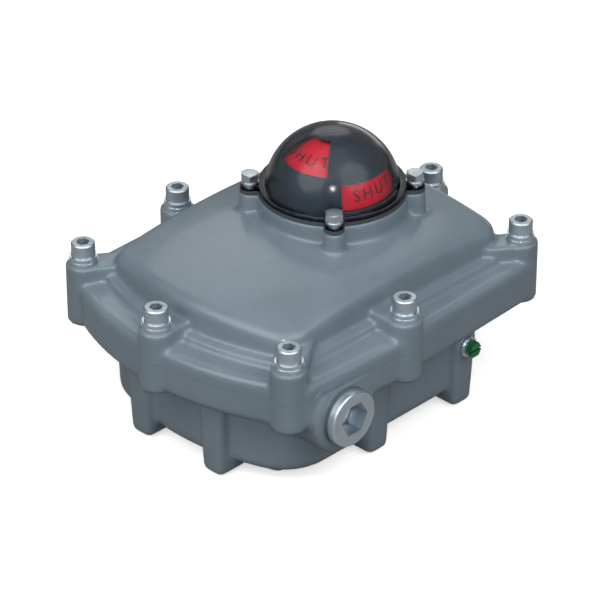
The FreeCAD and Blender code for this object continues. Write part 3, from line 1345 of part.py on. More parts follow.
def switch_mounting():
    """The bent bracket, the insulator between the switches and their screws."""
    low = "(low_cam_middle - switch_height / 2)"
    high = "(high_cam_middle + switch_height / 2)"
    bracket = Piece("switch_bracket")
    first, last = "(-pivot_inset - pivot_along)", "(switch_length - pivot_inset - pivot_along)"
    base = "(cavity_floor + terminal_boss_height)"
    profile = bracket.sketch("profile", "XZ", f"-({first} + switch_length / 2)")
    outline(profile, [
        ("switch_face + 2", f"{low} - bracket_sheet"), ("bracket_web", f"{low} - bracket_sheet"),
        ("bracket_web", base), ("bracket_end", base), ("bracket_end", f"{base} + bracket_sheet"),
        ("bracket_web + bracket_sheet", f"{base} + bracket_sheet"), ("bracket_web + bracket_sheet", low),
        ("switch_face + 2", low)])
    bracket.pad(profile, "switch_length", Midplane=True)
    holes = bracket.sketch("screw_holes", offset=f"{base} + bracket_sheet")
    for x, y in BRACKET_FEET:
        disc(holes, x, y, "bracket_screw_radius + hole_clearance")
    bracket.pocket(holes, "2 * bracket_sheet")
    taps = bracket.sketch("switch_taps", offset=low)
    for x, y in SWITCH_HOLES:
        disc(taps, x, y, "switch_screw_radius + seat_clearance")
    bracket.pocket(taps, "2 * bracket_sheet")
    insulator = Piece("switch_insulator")
    sheet_sketch = insulator.sketch("outline", offset="low_cam_middle + switch_height / 2")
    rectangle(sheet_sketch, "switch_face + 0.5", "switch_face + switch_depth", first, last)
    for x, y in SWITCH_HOLES:
        disc(sheet_sketch, x, y, "switch_screw_radius + seat_clearance")
    insulator.pad(sheet_sketch, "switch_pitch - switch_height")
    screw = pan_screw("switch_screw", "switch_screw_radius",
                      f"{high} - {low} + bracket_sheet", "1.9 * switch_screw_radius", "2.0")
    foot_screw = pan_screw("bracket_screw", "bracket_screw_radius",
                           "terminal_boss_height + bracket_sheet", "2 * bracket_screw_radius", "2.6")
    return [bracket, insulator,
            copies("switch_screws", screw, [((x, y, high), STRAIGHT) for x, y in SWITCH_HOLES]),
            copies("bracket_screws", foot_screw,
                   [((x, y, f"{base} + bracket_sheet"), STRAIGHT) for x, y in BRACKET_FEET])]


def pan_screw(label, radius, length, head_radius, head_height):
    """A slotted pan head screw, head up, seated at its own z = 0."""
    screw = Piece(label)
    profile = screw.sketch("profile", "XZ")
    outline(profile, [("0", f"-({length})"), (radius, f"-({length})"), (radius, "0"), (head_radius, "0"),
                      (head_radius, f"0.6 * ({head_height})"), (f"0.8 * ({head_radius})", head_height),
                      ("0", head_height)])
    screw.revolve(profile)
    slot = screw.sketch("slot", offset=head_height)
    rectangle(slot, f"-2 * ({head_radius})", f"2 * ({head_radius})", "-0.5", "0.5")
    screw.pocket(slot, f"({head_height}) / 2")
    return screw


def terminals():
    """The terminal block on its two bosses, its clamp screws and its fixing screws."""
    block = Piece("terminal_block")
    base = "(cavity_floor + terminal_boss_height)"
    run = "(terminal_count * terminal_pitch)"
    start = f"(-terminal_along - {run} / 2)"
    left, right = "(-terminal_across - terminal_width / 2)", "(-terminal_across + terminal_width / 2)"
    plate = block.sketch("plate", offset=base)
    rectangle(plate, left, right, f"{start} - 9", f"{start} + {run} + 9")
    block.pad(plate, "terminal_base / 2")
    body = block.sketch("body", offset=base)
    rectangle(body, left, right, f"{start} - terminal_wall / 2", f"{start} + {run} + terminal_wall / 2")
    block.pad(body, "terminal_height")
    count = round(value("terminal_count"))
    cells = block.sketch("cells", offset=f"{base} + terminal_height")
    middles = [f"{start} + {index} * terminal_pitch + terminal_pitch / 2" for index in range(count)]
    for middle in middles:
        for low, high in ((f"{left} - 1", "-terminal_across - 3.2"), ("-terminal_across + 3.2", f"{right} + 1")):
            rectangle(cells, low, high, f"{middle} - (terminal_pitch - terminal_wall) / 2",
                      f"{middle} + (terminal_pitch - terminal_wall) / 2")
    block.pocket(cells, "terminal_height - terminal_base")
    wells = block.sketch("wells", offset=f"{base} + terminal_height")
    for middle in middles:
        disc(wells, "-terminal_across", middle, "terminal_screw_radius + 0.35")
    block.pocket(wells, "terminal_height - terminal_base")
    holes = block.sketch("holes", offset=f"{base} + terminal_base / 2")
    for x, y in TERMINAL_FEET:
        disc(holes, x, y, "bracket_screw_radius + hole_clearance")
    block.pocket(holes, "terminal_base")
    clamp = Piece("clamp_screw")
    shank = clamp.sketch("section")
    disc(shank, "0", "0", "terminal_screw_radius")
    clamp.pad(shank, "terminal_height - terminal_base - 1.5")
    slot = clamp.sketch("slot", offset="terminal_height - terminal_base - 1.5")
    rectangle(slot, "-3", "3", "-0.35", "0.35")
    clamp.pocket(slot, "1")
    fixing = pan_screw("terminal_fixing", "bracket_screw_radius", "terminal_boss_height + terminal_base / 2",
                       "2 * bracket_screw_radius", "2.6")
    return [block,
            copies("terminal_screws", clamp,
                   [(("-terminal_across", middle, f"{base} + terminal_base"), STRAIGHT) for middle in middles]),
            copies("terminal_fixings", fixing,
                   [((x, y, f"{base} + terminal_base / 2"), STRAIGHT) for x, y in TERMINAL_FEET])]


def earth_points():
    """The green outer earth screw with its washers, and the inner earth screw."""
    inner = pan_screw("inner_earth", "bracket_screw_radius", "terminal_boss_height",
                      "2.2 * bracket_screw_radius", "3")
    inner_group = copies("inner_earth_screw", inner,
                         [((x, y, "cavity_floor + terminal_boss_height"), STRAIGHT) for x, y in EARTH_FOOT])
    flat = Piece("earth_flat_washer")
    face = flat.sketch("section", "YZ", "earth_seat")
    for radius in ("earth_washer_radius", "earth_screw_radius + hole_clearance"):
        disc(face, "side_foot_rear", "earth_level", radius)
    flat.pad(face, "earth_washer_thickness")
    spring = Piece("earth_spring_washer")
    face = spring.sketch("section", "YZ", "earth_seat + earth_washer_thickness")
    for radius in ("earth_washer_radius - 0.9", "earth_screw_radius + hole_clearance / 2"):
        disc(face, "side_foot_rear", "earth_level", radius)
    spring.pad(face, "earth_spring_thickness")
    screw = Piece("earth_screw")
    seat = "(earth_seat + earth_washer_thickness + earth_spring_thickness)"
    shank = screw.sketch("shank", "YZ", seat)
    disc(shank, "side_foot_rear", "earth_level", "earth_screw_radius")
    screw.pad(shank, "earth_screw_length", Reversed=True)
    head = screw.sketch("head", "YZ", seat)
    hexagon(head, "side_foot_rear", "earth_level", "earth_head_flats")
    screw.pad(head, "earth_head_height")
    slot = screw.sketch("slot", "YZ", f"{seat} + earth_head_height")
    rectangle(slot, "side_foot_rear - earth_head_flats", "side_foot_rear + earth_head_flats",
              "earth_level - earth_slot_width / 2", "earth_level + earth_slot_width / 2")
    screw.pocket(slot, "earth_slot_depth")
    return [inner_group, flat, spring, screw]


def conduit_fittings():
    """The plug in the right-hand conduit entry and the seal behind its flange."""
    seal = Piece("plug_seal")
    face = seal.sketch("section", "YZ", "entry_face")
    for radius in ("plug_flange_radius + 0.25", "entry_radius + hole_clearance"):
        disc(face, "-entry_along", "entry_level", radius)
    seal.pad(face, "plug_seal_thickness")
    plug = Piece("conduit_plug")
    seat = "(entry_face + plug_seal_thickness)"
    face = plug.sketch("flange", "YZ", seat)
    disc(face, "-entry_along", "entry_level", "plug_flange_radius")
    plug.pad(face, "plug_flange_thickness")
    top = value(f"{seat} + plug_flange_thickness")
    plug.fillet("flange_edge", "plug_flange_thickness / 4", lambda edge: edge.BoundBox.XMin > top - 0.01)
    thread = plug.sketch("thread", "YZ", seat)
    disc(thread, "-entry_along", "entry_level", "entry_radius - thread_clearance")
    plug.pad(thread, "plug_thread_length + plug_seal_thickness", Reversed=True)
    key = plug.sketch("key", "YZ", f"{seat} + plug_flange_thickness")
    hexagon(key, "-entry_along", "entry_level", "plug_key_flats")
    plug.pocket(key, "plug_key_depth")
    return [seal, plug]


def flatten(items):
    """Every piece in nested lists."""
    for item in items:
        if isinstance(item, (list, tuple)):
            yield from flatten(item)
        else:
            yield item


def build():
    """Make every sub-part and return the objects that become files."""
    made = [
        lower_housing(), cover(), cover_seal(), cover_fasteners(), dome_window(), dome_gasket(),
        dome_fasteners(), indicator_shield(), indicator_rotor(), indicator_panels(), rotor_screw(),
        drive_shaft(), spindle(), bearings(), cams(),
        microswitch("low_switch", "low_cam_middle"), microswitch("high_switch", "high_cam_middle"),
        lever_set("low", "low_cam_middle", True), lever_set("high", "high_cam_middle", False),
        switch_mounting(), terminals(), earth_points(), conduit_fittings()]
    return [item.body if isinstance(item, Piece) else item for item in flatten(made)]


def export(objects):
    """Check every object and sub-part, then write one STEP file for each sub-part."""
    doc.recompute()
    for item in doc.Objects:
        if {"Invalid", "Error"} & set(item.State):
            raise RuntimeError(f"{item.Name} failed: {item.State}")
    os.makedirs("parts", exist_ok=True)
    for item in objects:
        shape = item.Shape
        if shape.isNull() or not shape.isValid() or not shape.Solids:
            raise RuntimeError(f"{item.Label} has no valid solid")
        shape.exportStep(f"parts/{item.Label}.step")
        print(f"{item.Label}: {len(shape.Solids)} solid(s), {shape.Volume:.1f} cubic millimetres")


export(build())
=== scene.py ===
"""Dresses the valve limit switch box: castings, clear indicator dome, fasteners and inner mechanism."""
from __future__ import annotations

import logging
import math
from dataclasses import dataclass
from enum import Enum
from functools import cached_property
from typing import Callable

import bmesh
import bpy
from mathutils import Color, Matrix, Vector


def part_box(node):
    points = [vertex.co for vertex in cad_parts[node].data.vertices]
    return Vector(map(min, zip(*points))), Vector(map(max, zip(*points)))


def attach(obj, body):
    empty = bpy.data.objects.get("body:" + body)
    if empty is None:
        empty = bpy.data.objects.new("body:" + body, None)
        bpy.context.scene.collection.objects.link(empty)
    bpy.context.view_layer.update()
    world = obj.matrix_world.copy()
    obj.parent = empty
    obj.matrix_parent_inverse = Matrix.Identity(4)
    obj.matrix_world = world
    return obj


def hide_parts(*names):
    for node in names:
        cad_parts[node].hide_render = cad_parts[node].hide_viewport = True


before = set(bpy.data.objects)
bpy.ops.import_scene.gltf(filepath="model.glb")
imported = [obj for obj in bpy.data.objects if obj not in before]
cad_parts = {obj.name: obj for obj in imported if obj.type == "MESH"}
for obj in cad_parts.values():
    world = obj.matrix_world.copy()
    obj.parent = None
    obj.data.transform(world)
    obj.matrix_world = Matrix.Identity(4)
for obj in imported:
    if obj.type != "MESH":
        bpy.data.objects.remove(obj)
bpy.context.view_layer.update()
MM = 0.001
log = logging.getLogger("switch_box")


class Pattern(Enum):
    """How the fine grain of a finish lies on the surface."""

    EVEN = "even"
    TURNED = "turned"


class Letters(Enum):
    """The plain words on the indicator panels."""

    SHUT = "SHUT"
    OPEN = "OPEN"


class LampShape(Enum):
    """The outline of a lamp."""

    SQUARE = "RECTANGLE"
    ROUND = "DISK"


def linear(colour: str) -> tuple[float, float, float, float]:
    """Turn a written colour into the shader's linear values.

    Args:
        colour: six hexadecimal digits.

    Returns:
        Red, green, blue and alpha.
    """
    written = Color(int(colour[i:i + 2], 16) / 255 for i in (0, 2, 4))
    return (*written.from_srgb_to_scene_linear(), 1.0)


def everything(form: bmesh.types.BMesh) -> list[bmesh.types.BMVert | bmesh.types.BMEdge | bmesh.types.BMFace]:
    """List all of a form's geometry, as a cut through it needs."""
    return form.verts[:] + form.edges[:] + form.faces[:]


@dataclass
class Wiring:
    """Adds and joins nodes in one node tree."""

    tree: bpy.types.NodeTree

    def add(self, kind: str, **values: object) -> bpy.types.Node:
        """Add a node.

        Args:
            kind: the node's type name.
            values: properties of the node, or socket values with spaces written as underscores.

        Returns:
            The new node.
        """
        node = self.tree.nodes.new(kind)
        for key, value in values.items():
            if hasattr(node, key):
                setattr(node, key, value)
            else:
                node.inputs[key.replace("_", " ")].default_value = value
        return node

    def join(self, source: bpy.types.NodeSocket, target: bpy.types.NodeSocket) -> None:
        """Join an output socket to an input socket."""
        self.tree.links.new(source, target)

    def feed(self, value: bpy.types.NodeSocket | float | tuple[float, ...],
             slot: bpy.types.NodeSocket) -> None:
        """Give an input socket its value.

        Args:
            value: an output socket to join to it, or a plain value.
            slot: the input socket.
        """
        if isinstance(value, bpy.types.NodeSocket):
            self.join(value, slot)
        else:
            slot.default_value = value

    def maths(self, operation: str, first: bpy.types.NodeSocket | float,
              second: bpy.types.NodeSocket | float) -> bpy.types.NodeSocket:
        """Work with two numbers.

        Args:
            operation: the operation's name.
            first: a socket or a number.
            second: a socket or a number.

        Returns:
            The result's socket.
        """
        node = self.add("ShaderNodeMath", operation=operation)
        self.feed(first, node.inputs[0])
        self.feed(second, node.inputs[1])
        return node.outputs[0]

    def mix(self, first: bpy.types.NodeSocket | tuple[float, ...], second: tuple[float, ...],
            mask: bpy.types.NodeSocket) -> bpy.types.NodeSocket:
        """Mix two colours by a mask.

        Args:
            first: the colour where the mask is 0, as a socket or as linear values.
            second: the colour where the mask is 1, as linear values.
            mask: the mask's socket.

        Returns:
            The mixed colour's socket.
        """
        node = self.add("ShaderNodeMix", data_type="RGBA")
        self.feed(first, node.inputs["A"])
        self.feed(second, node.inputs["B"])
        self.join(mask, node.inputs["Factor"])
        return node.outputs["Result"]

    def spread(self, value: bpy.types.NodeSocket, **limits: float) -> bpy.types.NodeSocket:
        """Bring a value from one range to another.

        Args:
            value: the value's socket.
            limits: the ends of both ranges, each from 0 to 1 unless given.

        Returns:
            The result's socket.
        """
        node = self.add("ShaderNodeMapRange", **limits)
        self.join(value, node.inputs["Value"])
        return node.outputs["Result"]

    def place(self) -> bpy.types.NodeSocket:
        """Return the socket of the piece's own coordinates."""
        return self.add("ShaderNodeTexCoord").outputs["Object"]

    def scale(self, size: bpy.types.NodeSocket) -> bpy.types.NodeSocket:
        """Turn a size in millimetres into a texture's scale."""
        return self.maths("DIVIDE", 1 / MM, size)

    def noise(self, place: bpy.types.NodeSocket, size: bpy.types.NodeSocket,
              **values: float) -> bpy.types.NodeSocket:
        """Add soft noise.

        Args:
            place: the coordinates' socket.
            size: the socket of the noise's size in millimetres.
            values: the noise's detail and roughness.

        Returns:
            The noise's socket.
        """
        node = self.add("ShaderNodeTexNoise", **values)
        self.join(place, node.inputs["Vector"])
        self.join(self.scale(size), node.inputs["Scale"])
        return node.outputs["Fac"]

    def group(self, tree: bpy.types.NodeTree, **values: float) -> bpy.types.NodeSocket:
        """Place a shared group.

        Args:
            tree: the shared group.
            values: its input values.

        Returns:
            The socket of its one output.
        """
        return self.add("ShaderNodeGroup", node_tree=tree, **values).outputs[0]


class SurfaceGroups:
    """The node groups that the finishes share, each built once, when it is first asked for."""

    def start(self, name: str, inputs: dict[str, float], output: str) -> tuple[
            Wiring, bpy.types.Node, bpy.types.Node]:
        """Open a new group.

        Args:
            name: the group's name.
            inputs: number inputs and their usual values.
            output: name of the number that it gives.

        Returns:
            The group's wiring, its input node and its output node.
        """
        tree = bpy.data.node_groups.new(name, "ShaderNodeTree")
        for label, value in inputs.items():
            socket = tree.interface.new_socket(name=label, in_out="INPUT", socket_type="NodeSocketFloat")
            socket.default_value = value
        tree.interface.new_socket(name=output, in_out="OUTPUT", socket_type="NodeSocketFloat")
        wiring = Wiring(tree)
        return wiring, wiring.add("NodeGroupInput"), wiring.add("NodeGroupOutput")

    @cached_property
    def patches(self) -> bpy.types.NodeTree:
        """Broad soft patches, where paint or plastic has aged unevenly.

        Returns:
            A group with a Size in millimetres and a Mask.
        """
        wiring, inside, outside = self.start("broad_patches", {"Size": 20.0}, "Mask")
        noise = wiring.noise(wiring.place(), inside.outputs["Size"], Detail=3.0, Roughness=0.6)
        wiring.join(wiring.spread(noise, From_Min=0.35, From_Max=0.65), outside.inputs["Mask"])
        return wiring.tree

    @cached_property
    def grain(self) -> bpy.types.NodeTree:
        """Fine even relief, such as sprayed paint or moulded plastic, with pits where it was cast.

        Returns:
            A group with a Size in millimetres, the pits' depth as Pitting, and a Height.
        """
        wiring, inside, outside = self.start("fine_grain", {"Size": 1.0, "Pitting": 0.0}, "Height")
        place = wiring.place()
        size = inside.outputs["Size"]
        noise = wiring.noise(place, size, Detail=2.0, Roughness=0.5)
        pits_per_grain = 0.45
        pits = wiring.add("ShaderNodeTexVoronoi")
        wiring.join(place, pits.inputs["Vector"])
        wiring.join(wiring.maths("MULTIPLY", wiring.scale(size), pits_per_grain), pits.inputs["Scale"])
        hollow = wiring.spread(pits.outputs["Distance"], From_Max=0.16, To_Min=-1.0, To_Max=0.0)
        sunk = wiring.maths("MULTIPLY", hollow, inside.outputs["Pitting"])
        wiring.join(wiring.maths("ADD", noise, sunk), outside.inputs["Height"])
        return wiring.tree

    @cached_property
    def tool_lines(self) -> bpy.types.NodeTree:
        """Fine level lines that a cutting tool leaves round a turned piece.

        Returns:
            A group with a Pitch in millimetres and a Height from 0 to 1.
        """
        wiring, inside, outside = self.start("tool_lines", {"Pitch": 0.4}, "Height")
        squeeze = wiring.add("ShaderNodeMapping", Scale=(0.08, 0.08, 1.0))
        wiring.join(wiring.place(), squeeze.inputs["Vector"])
        noise = wiring.noise(squeeze.outputs["Vector"], inside.outputs["Pitch"], Detail=2.0, Roughness=0.6)
        wiring.join(noise, outside.inputs["Height"])
        return wiring.tree

    @cached_property
    def recess_shade(self) -> bpy.types.NodeTree:
        """Painted shade in sockets, slots and narrow gaps, darkest where the piece's own surfaces close round
        a point.

        Returns:
            A group with a Reach in millimetres and a Mask.
        """
        wiring, inside, outside = self.start("painted_recess_shade", {"Reach": 2.0}, "Mask")
        # Painted shade: the ambient occlusion of the piece's own surfaces becomes the mask for a dark colour.
        nook = wiring.add("ShaderNodeAmbientOcclusion", samples=6, only_local=True)
        wiring.join(wiring.maths("MULTIPLY", inside.outputs["Reach"], MM), nook.inputs["Distance"])
        wiring.join(wiring.spread(nook.outputs["AO"], From_Min=0.8, From_Max=0.25), outside.inputs["Mask"])
        return wiring.tree

    @cached_property
    def settled(self) -> bpy.types.NodeTree:
        """Dust that settles thinly on faces that look up.

        Returns:
            A group with a Size in millimetres and a Mask.
        """
        wiring, inside, outside = self.start("settled_dust", {"Size": 6.0}, "Mask")
        face = wiring.add("ShaderNodeNewGeometry")
        split = wiring.add("ShaderNodeSeparateXYZ")
        wiring.join(face.outputs["Normal"], split.inputs["Vector"])
        level = wiring.spread(split.outputs["Z"], From_Min=0.55)
        noise = wiring.noise(wiring.place(), inside.outputs["Size"], Detail=5.0, Roughness=0.7)
        thin = wiring.spread(noise, From_Min=0.4, From_Max=0.8)
        wiring.join(wiring.maths("MULTIPLY", level, thin), outside.inputs["Mask"])
        return wiring.tree


groups = SurfaceGroups()


@dataclass(frozen=True)
class Finish:
    """A surface finish, and how it is made as a material. Sizes are in millimetres."""

    name: str
    colour: str
    patch_colour: str
    roughness: tuple[float, float] = (0.4, 0.5)
    metallic: float = 0.0
    coat: float = 0.0
    coat_roughness: float = 0.12
    grain_size: float = 1.0
    grain_depth: float = 0.02
    pitting: float = 0.0
    patch_size: float = 18.0
    dust: float = 0.0
    dust_size: float = 5.0
    dust_colour: str = "b9b4aa"
    pattern: Pattern = Pattern.EVEN
    transmission: float = 0.0
    refraction: float = 1.5
    specular: float = 0.5
    # How far the painted shade in recesses reaches, and its dark colour; 0 leaves it out.
    shade_reach: float = 0.0
    shade_colour: str = "2a3034"

    def surface(self) -> tuple[bpy.types.Material, Wiring, bpy.types.Node]:
        """Start the material with its shader.

        Returns:
            The material, its wiring and its shader node.
        """
        material = bpy.data.materials.new(self.name)
        material.use_nodes = True
        material.node_tree.nodes.clear()
        wiring = Wiring(material.node_tree)
        shader = wiring.add("ShaderNodeBsdfPrincipled", Metallic=self.metallic, Coat_Weight=self.coat,
                            Coat_Roughness=self.coat_roughness, Transmission_Weight=self.transmission,
                            IOR=self.refraction, Specular_IOR_Level=self.specular)
        end = wiring.add("ShaderNodeOutputMaterial")
        wiring.join(shader.outputs["BSDF"], end.inputs["Surface"])
        return material, wiring, shader

    def aged(self, wiring: Wiring, colour: bpy.types.NodeSocket) -> bpy.types.NodeSocket:
        """Leave the colour as it is; a clear finish changes it here.

        Args:
            wiring: the material's wiring.
            colour: the patched colour.

        Returns:
            The colour to use.
        """
        return colour

    def coloured(self, wiring: Wiring, patches: bpy.types.NodeSocket) -> bpy.types.NodeSocket:
        """Lay the patches, the painted shade in recesses and the settled dust over each other.

        Args:
            wiring: the material's wiring.
            patches: the mask of the broad patches.

        Returns:
            The finished colour's socket.
        """
        colour = wiring.mix(linear(self.colour), linear(self.patch_colour), patches)
        colour = self.aged(wiring, colour)
        # Painted shade: sockets and gaps darken where the piece's own surfaces occlude them.
        if self.shade_reach:
            shade_mask = wiring.group(groups.recess_shade, Reach=self.shade_reach)
            colour = wiring.mix(colour, linear(self.shade_colour), shade_mask)
        if self.dust:
            dust = wiring.maths("MULTIPLY", wiring.group(groups.settled, Size=self.dust_size), self.dust)
            colour = wiring.mix(colour, linear(self.dust_colour), dust)
        return colour

    def relief(self, wiring: Wiring) -> bpy.types.NodeSocket:
        """Give the surface its fine relief.

        Args:
            wiring: the material's wiring.

        Returns:
            The socket of the bumped normal.
        """
        if self.pattern is Pattern.TURNED:
            height = wiring.group(groups.tool_lines, Pitch=self.grain_size)
        else:
            height = wiring.group(groups.grain, Size=self.grain_size, Pitting=self.pitting)
        bump = wiring.add("ShaderNodeBump", Strength=1.0, Distance=self.grain_depth * MM)
        wiring.join(height, bump.inputs["Height"])
        return bump.outputs["Normal"]

    def material(self) -> bpy.types.Material:
        """Make the finish as a material.

        Returns:
            The material.
        """
        material, wiring, shader = self.surface()
        patches = wiring.group(groups.patches, Size=self.patch_size)
        sheen = wiring.spread(patches, To_Min=self.roughness[0], To_Max=self.roughness[1])
        wiring.join(self.coloured(wiring, patches), shader.inputs["Base Color"])
        wiring.join(sheen, shader.inputs["Roughness"])
        wiring.join(self.relief(wiring), shader.inputs["Normal"])
        return material


@dataclass(frozen=True)
class ClearFinish(Finish):
    """A clear moulding whose smoky tint shows where one looks along the wall."""

    rim_colour: str = "33393e"
    rim_start: float = 0.2
    rim_end: float = 0.6

    def aged(self, wiring: Wiring, colour: bpy.types.NodeSocket) -> bpy.types.NodeSocket:
        """Darken the colour towards the rim.

        Args:
            wiring: the material's wiring.
            colour: the patched colour.

        Returns:
            The colour with its smoky rim.
        """
        view = wiring.add("ShaderNodeLayerWeight", Blend=0.5)
        rim = wiring.spread(view.outputs["Facing"], From_Min=self.rim_start, From_Max=self.rim_end)
        return wiring.mix(colour, linear(self.rim_colour), rim)


PAINT = Finish("grey_enamel", "6a7982", "72808a", (0.3, 0.4), coat=0.3, grain_size=1.6,
               grain_depth=0.05, pitting=0.15, patch_size=35.0, dust=0.05)
# Painted shade darkens the screws' hex sockets.
SCREW_STEEL = Finish("stainless_screws", "c6d2d9", "b8c4cb", (0.42, 0.52), metallic=1.0, grain_size=0.35,
                     grain_depth=0.012, patch_size=6.0, pattern=Pattern.TURNED, shade_reach=2.5)
HEX_STEEL = Finish("hexagon_screws", "ccd5da", "bdc6cd", (0.34, 0.44), metallic=1.0, grain_size=0.3,
                   grain_depth=0.01, patch_size=5.0)
WASHER_STEEL = Finish("rolled_washers", "d6e1e9", "c6d1d9", (0.28, 0.38), metallic=1.0, grain_size=0.5,
                      grain_depth=0.01, patch_size=4.0)
PLAIN_STEEL = Finish("machined_steel", "a5a9ab", "989c9f", (0.2, 0.3), metallic=1.0, grain_size=0.3,
                     grain_depth=0.012, patch_size=8.0, pattern=Pattern.TURNED)
SPRING_STEEL = Finish("blued_spring_steel", "5f666d", "4f565e", (0.28, 0.38), metallic=1.0,
                      grain_size=0.5, grain_depth=0.008, patch_size=4.0)
BRACKET_STEEL = Finish("zinc_plated_sheet", "a8aaa6", "989b99", (0.3, 0.46), metallic=1.0,
                       grain_size=0.8, grain_depth=0.01, patch_size=5.0)
INNER_SCREWS = Finish("zinc_plated_screws", "b4b1a2", "a5a397", (0.28, 0.4), metallic=1.0,
                      grain_size=0.4, grain_depth=0.008, patch_size=3.0)
BRONZE = Finish("oiled_bronze", "a97f4c", "93693a", (0.3, 0.42), metallic=1.0, grain_size=0.4,
                grain_depth=0.01, patch_size=5.0, pattern=Pattern.TURNED)
# Painted shade darkens the plug's recesses.
PLUG_STEEL = Finish("blank_plug_steel", "d6e2ea", "c6d2da", (0.36, 0.46), metallic=1.0, grain_size=0.35,
                    grain_depth=0.014, patch_size=7.0, shade_reach=3.0)
RUBBER = Finish("black_rubber", "3a4044", "42494e", (0.55, 0.7), grain_size=0.5, grain_depth=0.02)
SEAL_RING = Finish("fibre_seal_ring", "535d63", "48525a", (0.5, 0.6), grain_size=0.4, grain_depth=0.01)
MASK = Finish("dark_mask", "27313a", "2e3842", (0.4, 0.5), grain_size=0.7, grain_depth=0.012, specular=0.2)
ROTOR = Finish("black_rotor", "191a1c", "1f2022", (0.45, 0.55), grain_size=0.7, grain_depth=0.012)
RED = Finish("signal_red", "da1230", "d2102d", (0.4, 0.5), grain_size=0.8, grain_depth=0.008, specular=0.2)
GREEN = Finish("signal_green", "178a4c", "137f45", (0.4, 0.5), grain_size=0.8, grain_depth=0.008,
               specular=0.2)
INK = Finish("panel_ink", "171114", "1d1418", (0.5, 0.6), grain_size=0.3, grain_depth=0.004)
CLEAR = ClearFinish("clear_dome", "e9edef", "e3e8eb", (0.13, 0.16), grain_size=12.0, grain_depth=0.004,
                    transmission=1.0, refraction=1.26, specular=0.2)
EARTH_GREEN = Finish("green_lacquer", "1d7a47", "176b3d", (0.26, 0.36), metallic=0.35, coat=0.4,
                     grain_size=0.5, grain_depth=0.01, patch_size=4.0)
LOW_CAM = Finish("red_moulding", "b5332c", "a92d27", (0.38, 0.48), grain_size=0.8, grain_depth=0.01)
HIGH_CAM = Finish("green_moulding", "2c8a58", "267d4f", (0.38, 0.48), grain_size=0.8, grain_depth=0.01)
NYLON = Finish("pale_nylon", "d8d4c6", "cdc9ba", (0.45, 0.55), grain_size=0.8, grain_depth=0.01)
SWITCH_CASE = Finish("black_switch_case", "222428", "2a2c30", (0.42, 0.52), grain_size=0.6, grain_depth=0.02)
ACETAL = Finish("white_acetal", "d6d6d0", "cbcbc4", (0.38, 0.46), grain_size=0.6, grain_depth=0.008)
TERMINAL_BODY = Finish("grey_terminal_moulding", "b9b7ac", "aeaca1", (0.48, 0.58), grain_size=0.7,
                       grain_depth=0.015)

NODE_FINISHES: dict[str, Finish] = {
    "lower_housing": PAINT, "cover": PAINT, "cover_seal": RUBBER,
    "cover_flat_washers": WASHER_STEEL, "cover_spring_washers": WASHER_STEEL,
    "cover_screws": SCREW_STEEL, "dome_window": CLEAR, "dome_gasket": RUBBER,
    "dome_flat_washers": WASHER_STEEL, "dome_spring_washers": WASHER_STEEL,
    "dome_screws": HEX_STEEL, "indicator_shield": MASK, "indicator_rotor": ROTOR,
    "shut_panels": RED, "open_panels": GREEN, "rotor_screw": INNER_SCREWS,
    "drive_shaft": PLAIN_STEEL, "indicator_spindle": PLAIN_STEEL, "shaft_bush": BRONZE,
    "thrust_washer": BRONZE, "retaining_washer": PLAIN_STEEL, "shaft_circlip": SPRING_STEEL,
    "shaft_seal": RUBBER, "spindle_bush": BRONZE, "spindle_circlip": SPRING_STEEL,
    "spindle_seal": RUBBER, "low_cam": LOW_CAM, "high_cam": HIGH_CAM, "cam_spacer": NYLON,
    "cam_circlip": SPRING_STEEL, "low_switch": SWITCH_CASE, "high_switch": SWITCH_CASE,
    "low_lever": BRACKET_STEEL, "high_lever": BRACKET_STEEL, "low_roller": ACETAL,
    "high_roller": ACETAL, "low_roller_pin": PLAIN_STEEL, "high_roller_pin": PLAIN_STEEL,
    "low_pivot_pin": PLAIN_STEEL, "high_pivot_pin": PLAIN_STEEL, "low_plunger": ACETAL,
    "high_plunger": ACETAL, "switch_bracket": BRACKET_STEEL, "switch_insulator": NYLON,
    "switch_screws": INNER_SCREWS, "bracket_screws": INNER_SCREWS, "terminal_block": TERMINAL_BODY,
    "terminal_screws": INNER_SCREWS, "terminal_fixings": INNER_SCREWS,
    "inner_earth_screw": EARTH_GREEN, "earth_flat_washer": WASHER_STEEL,
    "earth_spring_washer": WASHER_STEEL, "earth_screw": EARTH_GREEN, "plug_seal": SEAL_RING,
    "conduit_plug": PLUG_STEEL,
}


class Paintshop:
    """Gives the carried-over CAD pieces their materials."""

    def __init__(self) -> None:
        """Start with no material made."""
        self.made: dict[str, bpy.types.Material] = {}

    def material(self, finish: Finish) -> bpy.types.Material:
        """Make a finish's material, or find the one made before.

        Args:
            finish: the finish.

        Returns:
            Its material.
        """
        if finish.name not in self.made:
            self.made[finish.name] = finish.material()
        return self.made[finish.name]

    def dress(self, piece: bpy.types.Object, finish: Finish) -> None:
        """Put one finish on every slot of a piece.

        Args:
            piece: the piece.
            finish: its finish.
        """
        if not piece.material_slots:
            piece.data.materials.append(None)
        for slot in piece.material_slots:
            slot.link = "OBJECT"
            slot.material = self.material(finish)

    def dress_nodes(self) -> None:
        """Give every CAD node its finish."""
        for name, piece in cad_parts.items():
            self.dress(piece, NODE_FINISHES[name])
            log.info("dressed %s in %s", name, NODE_FINISHES[name].name)


shop = Paintshop()


def keep(mesh: bpy.types.Mesh, name: str, body: str, finish: Finish) -> bpy.types.Object:
    """Place a finished mesh in the scene.

    Args:
        mesh: the mesh, in the box's own frame.
        name: the piece's name.
        body: the body that it rides on.
        finish: its finish.

    Returns:
        The new object.
    """
    piece = bpy.data.objects.new(name, mesh)
    bpy.context.scene.collection.objects.link(piece)
    shop.dress(piece, finish)
    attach(piece, body)
    log.info("built %s with %d faces", name, len(mesh.polygons))
    return piece


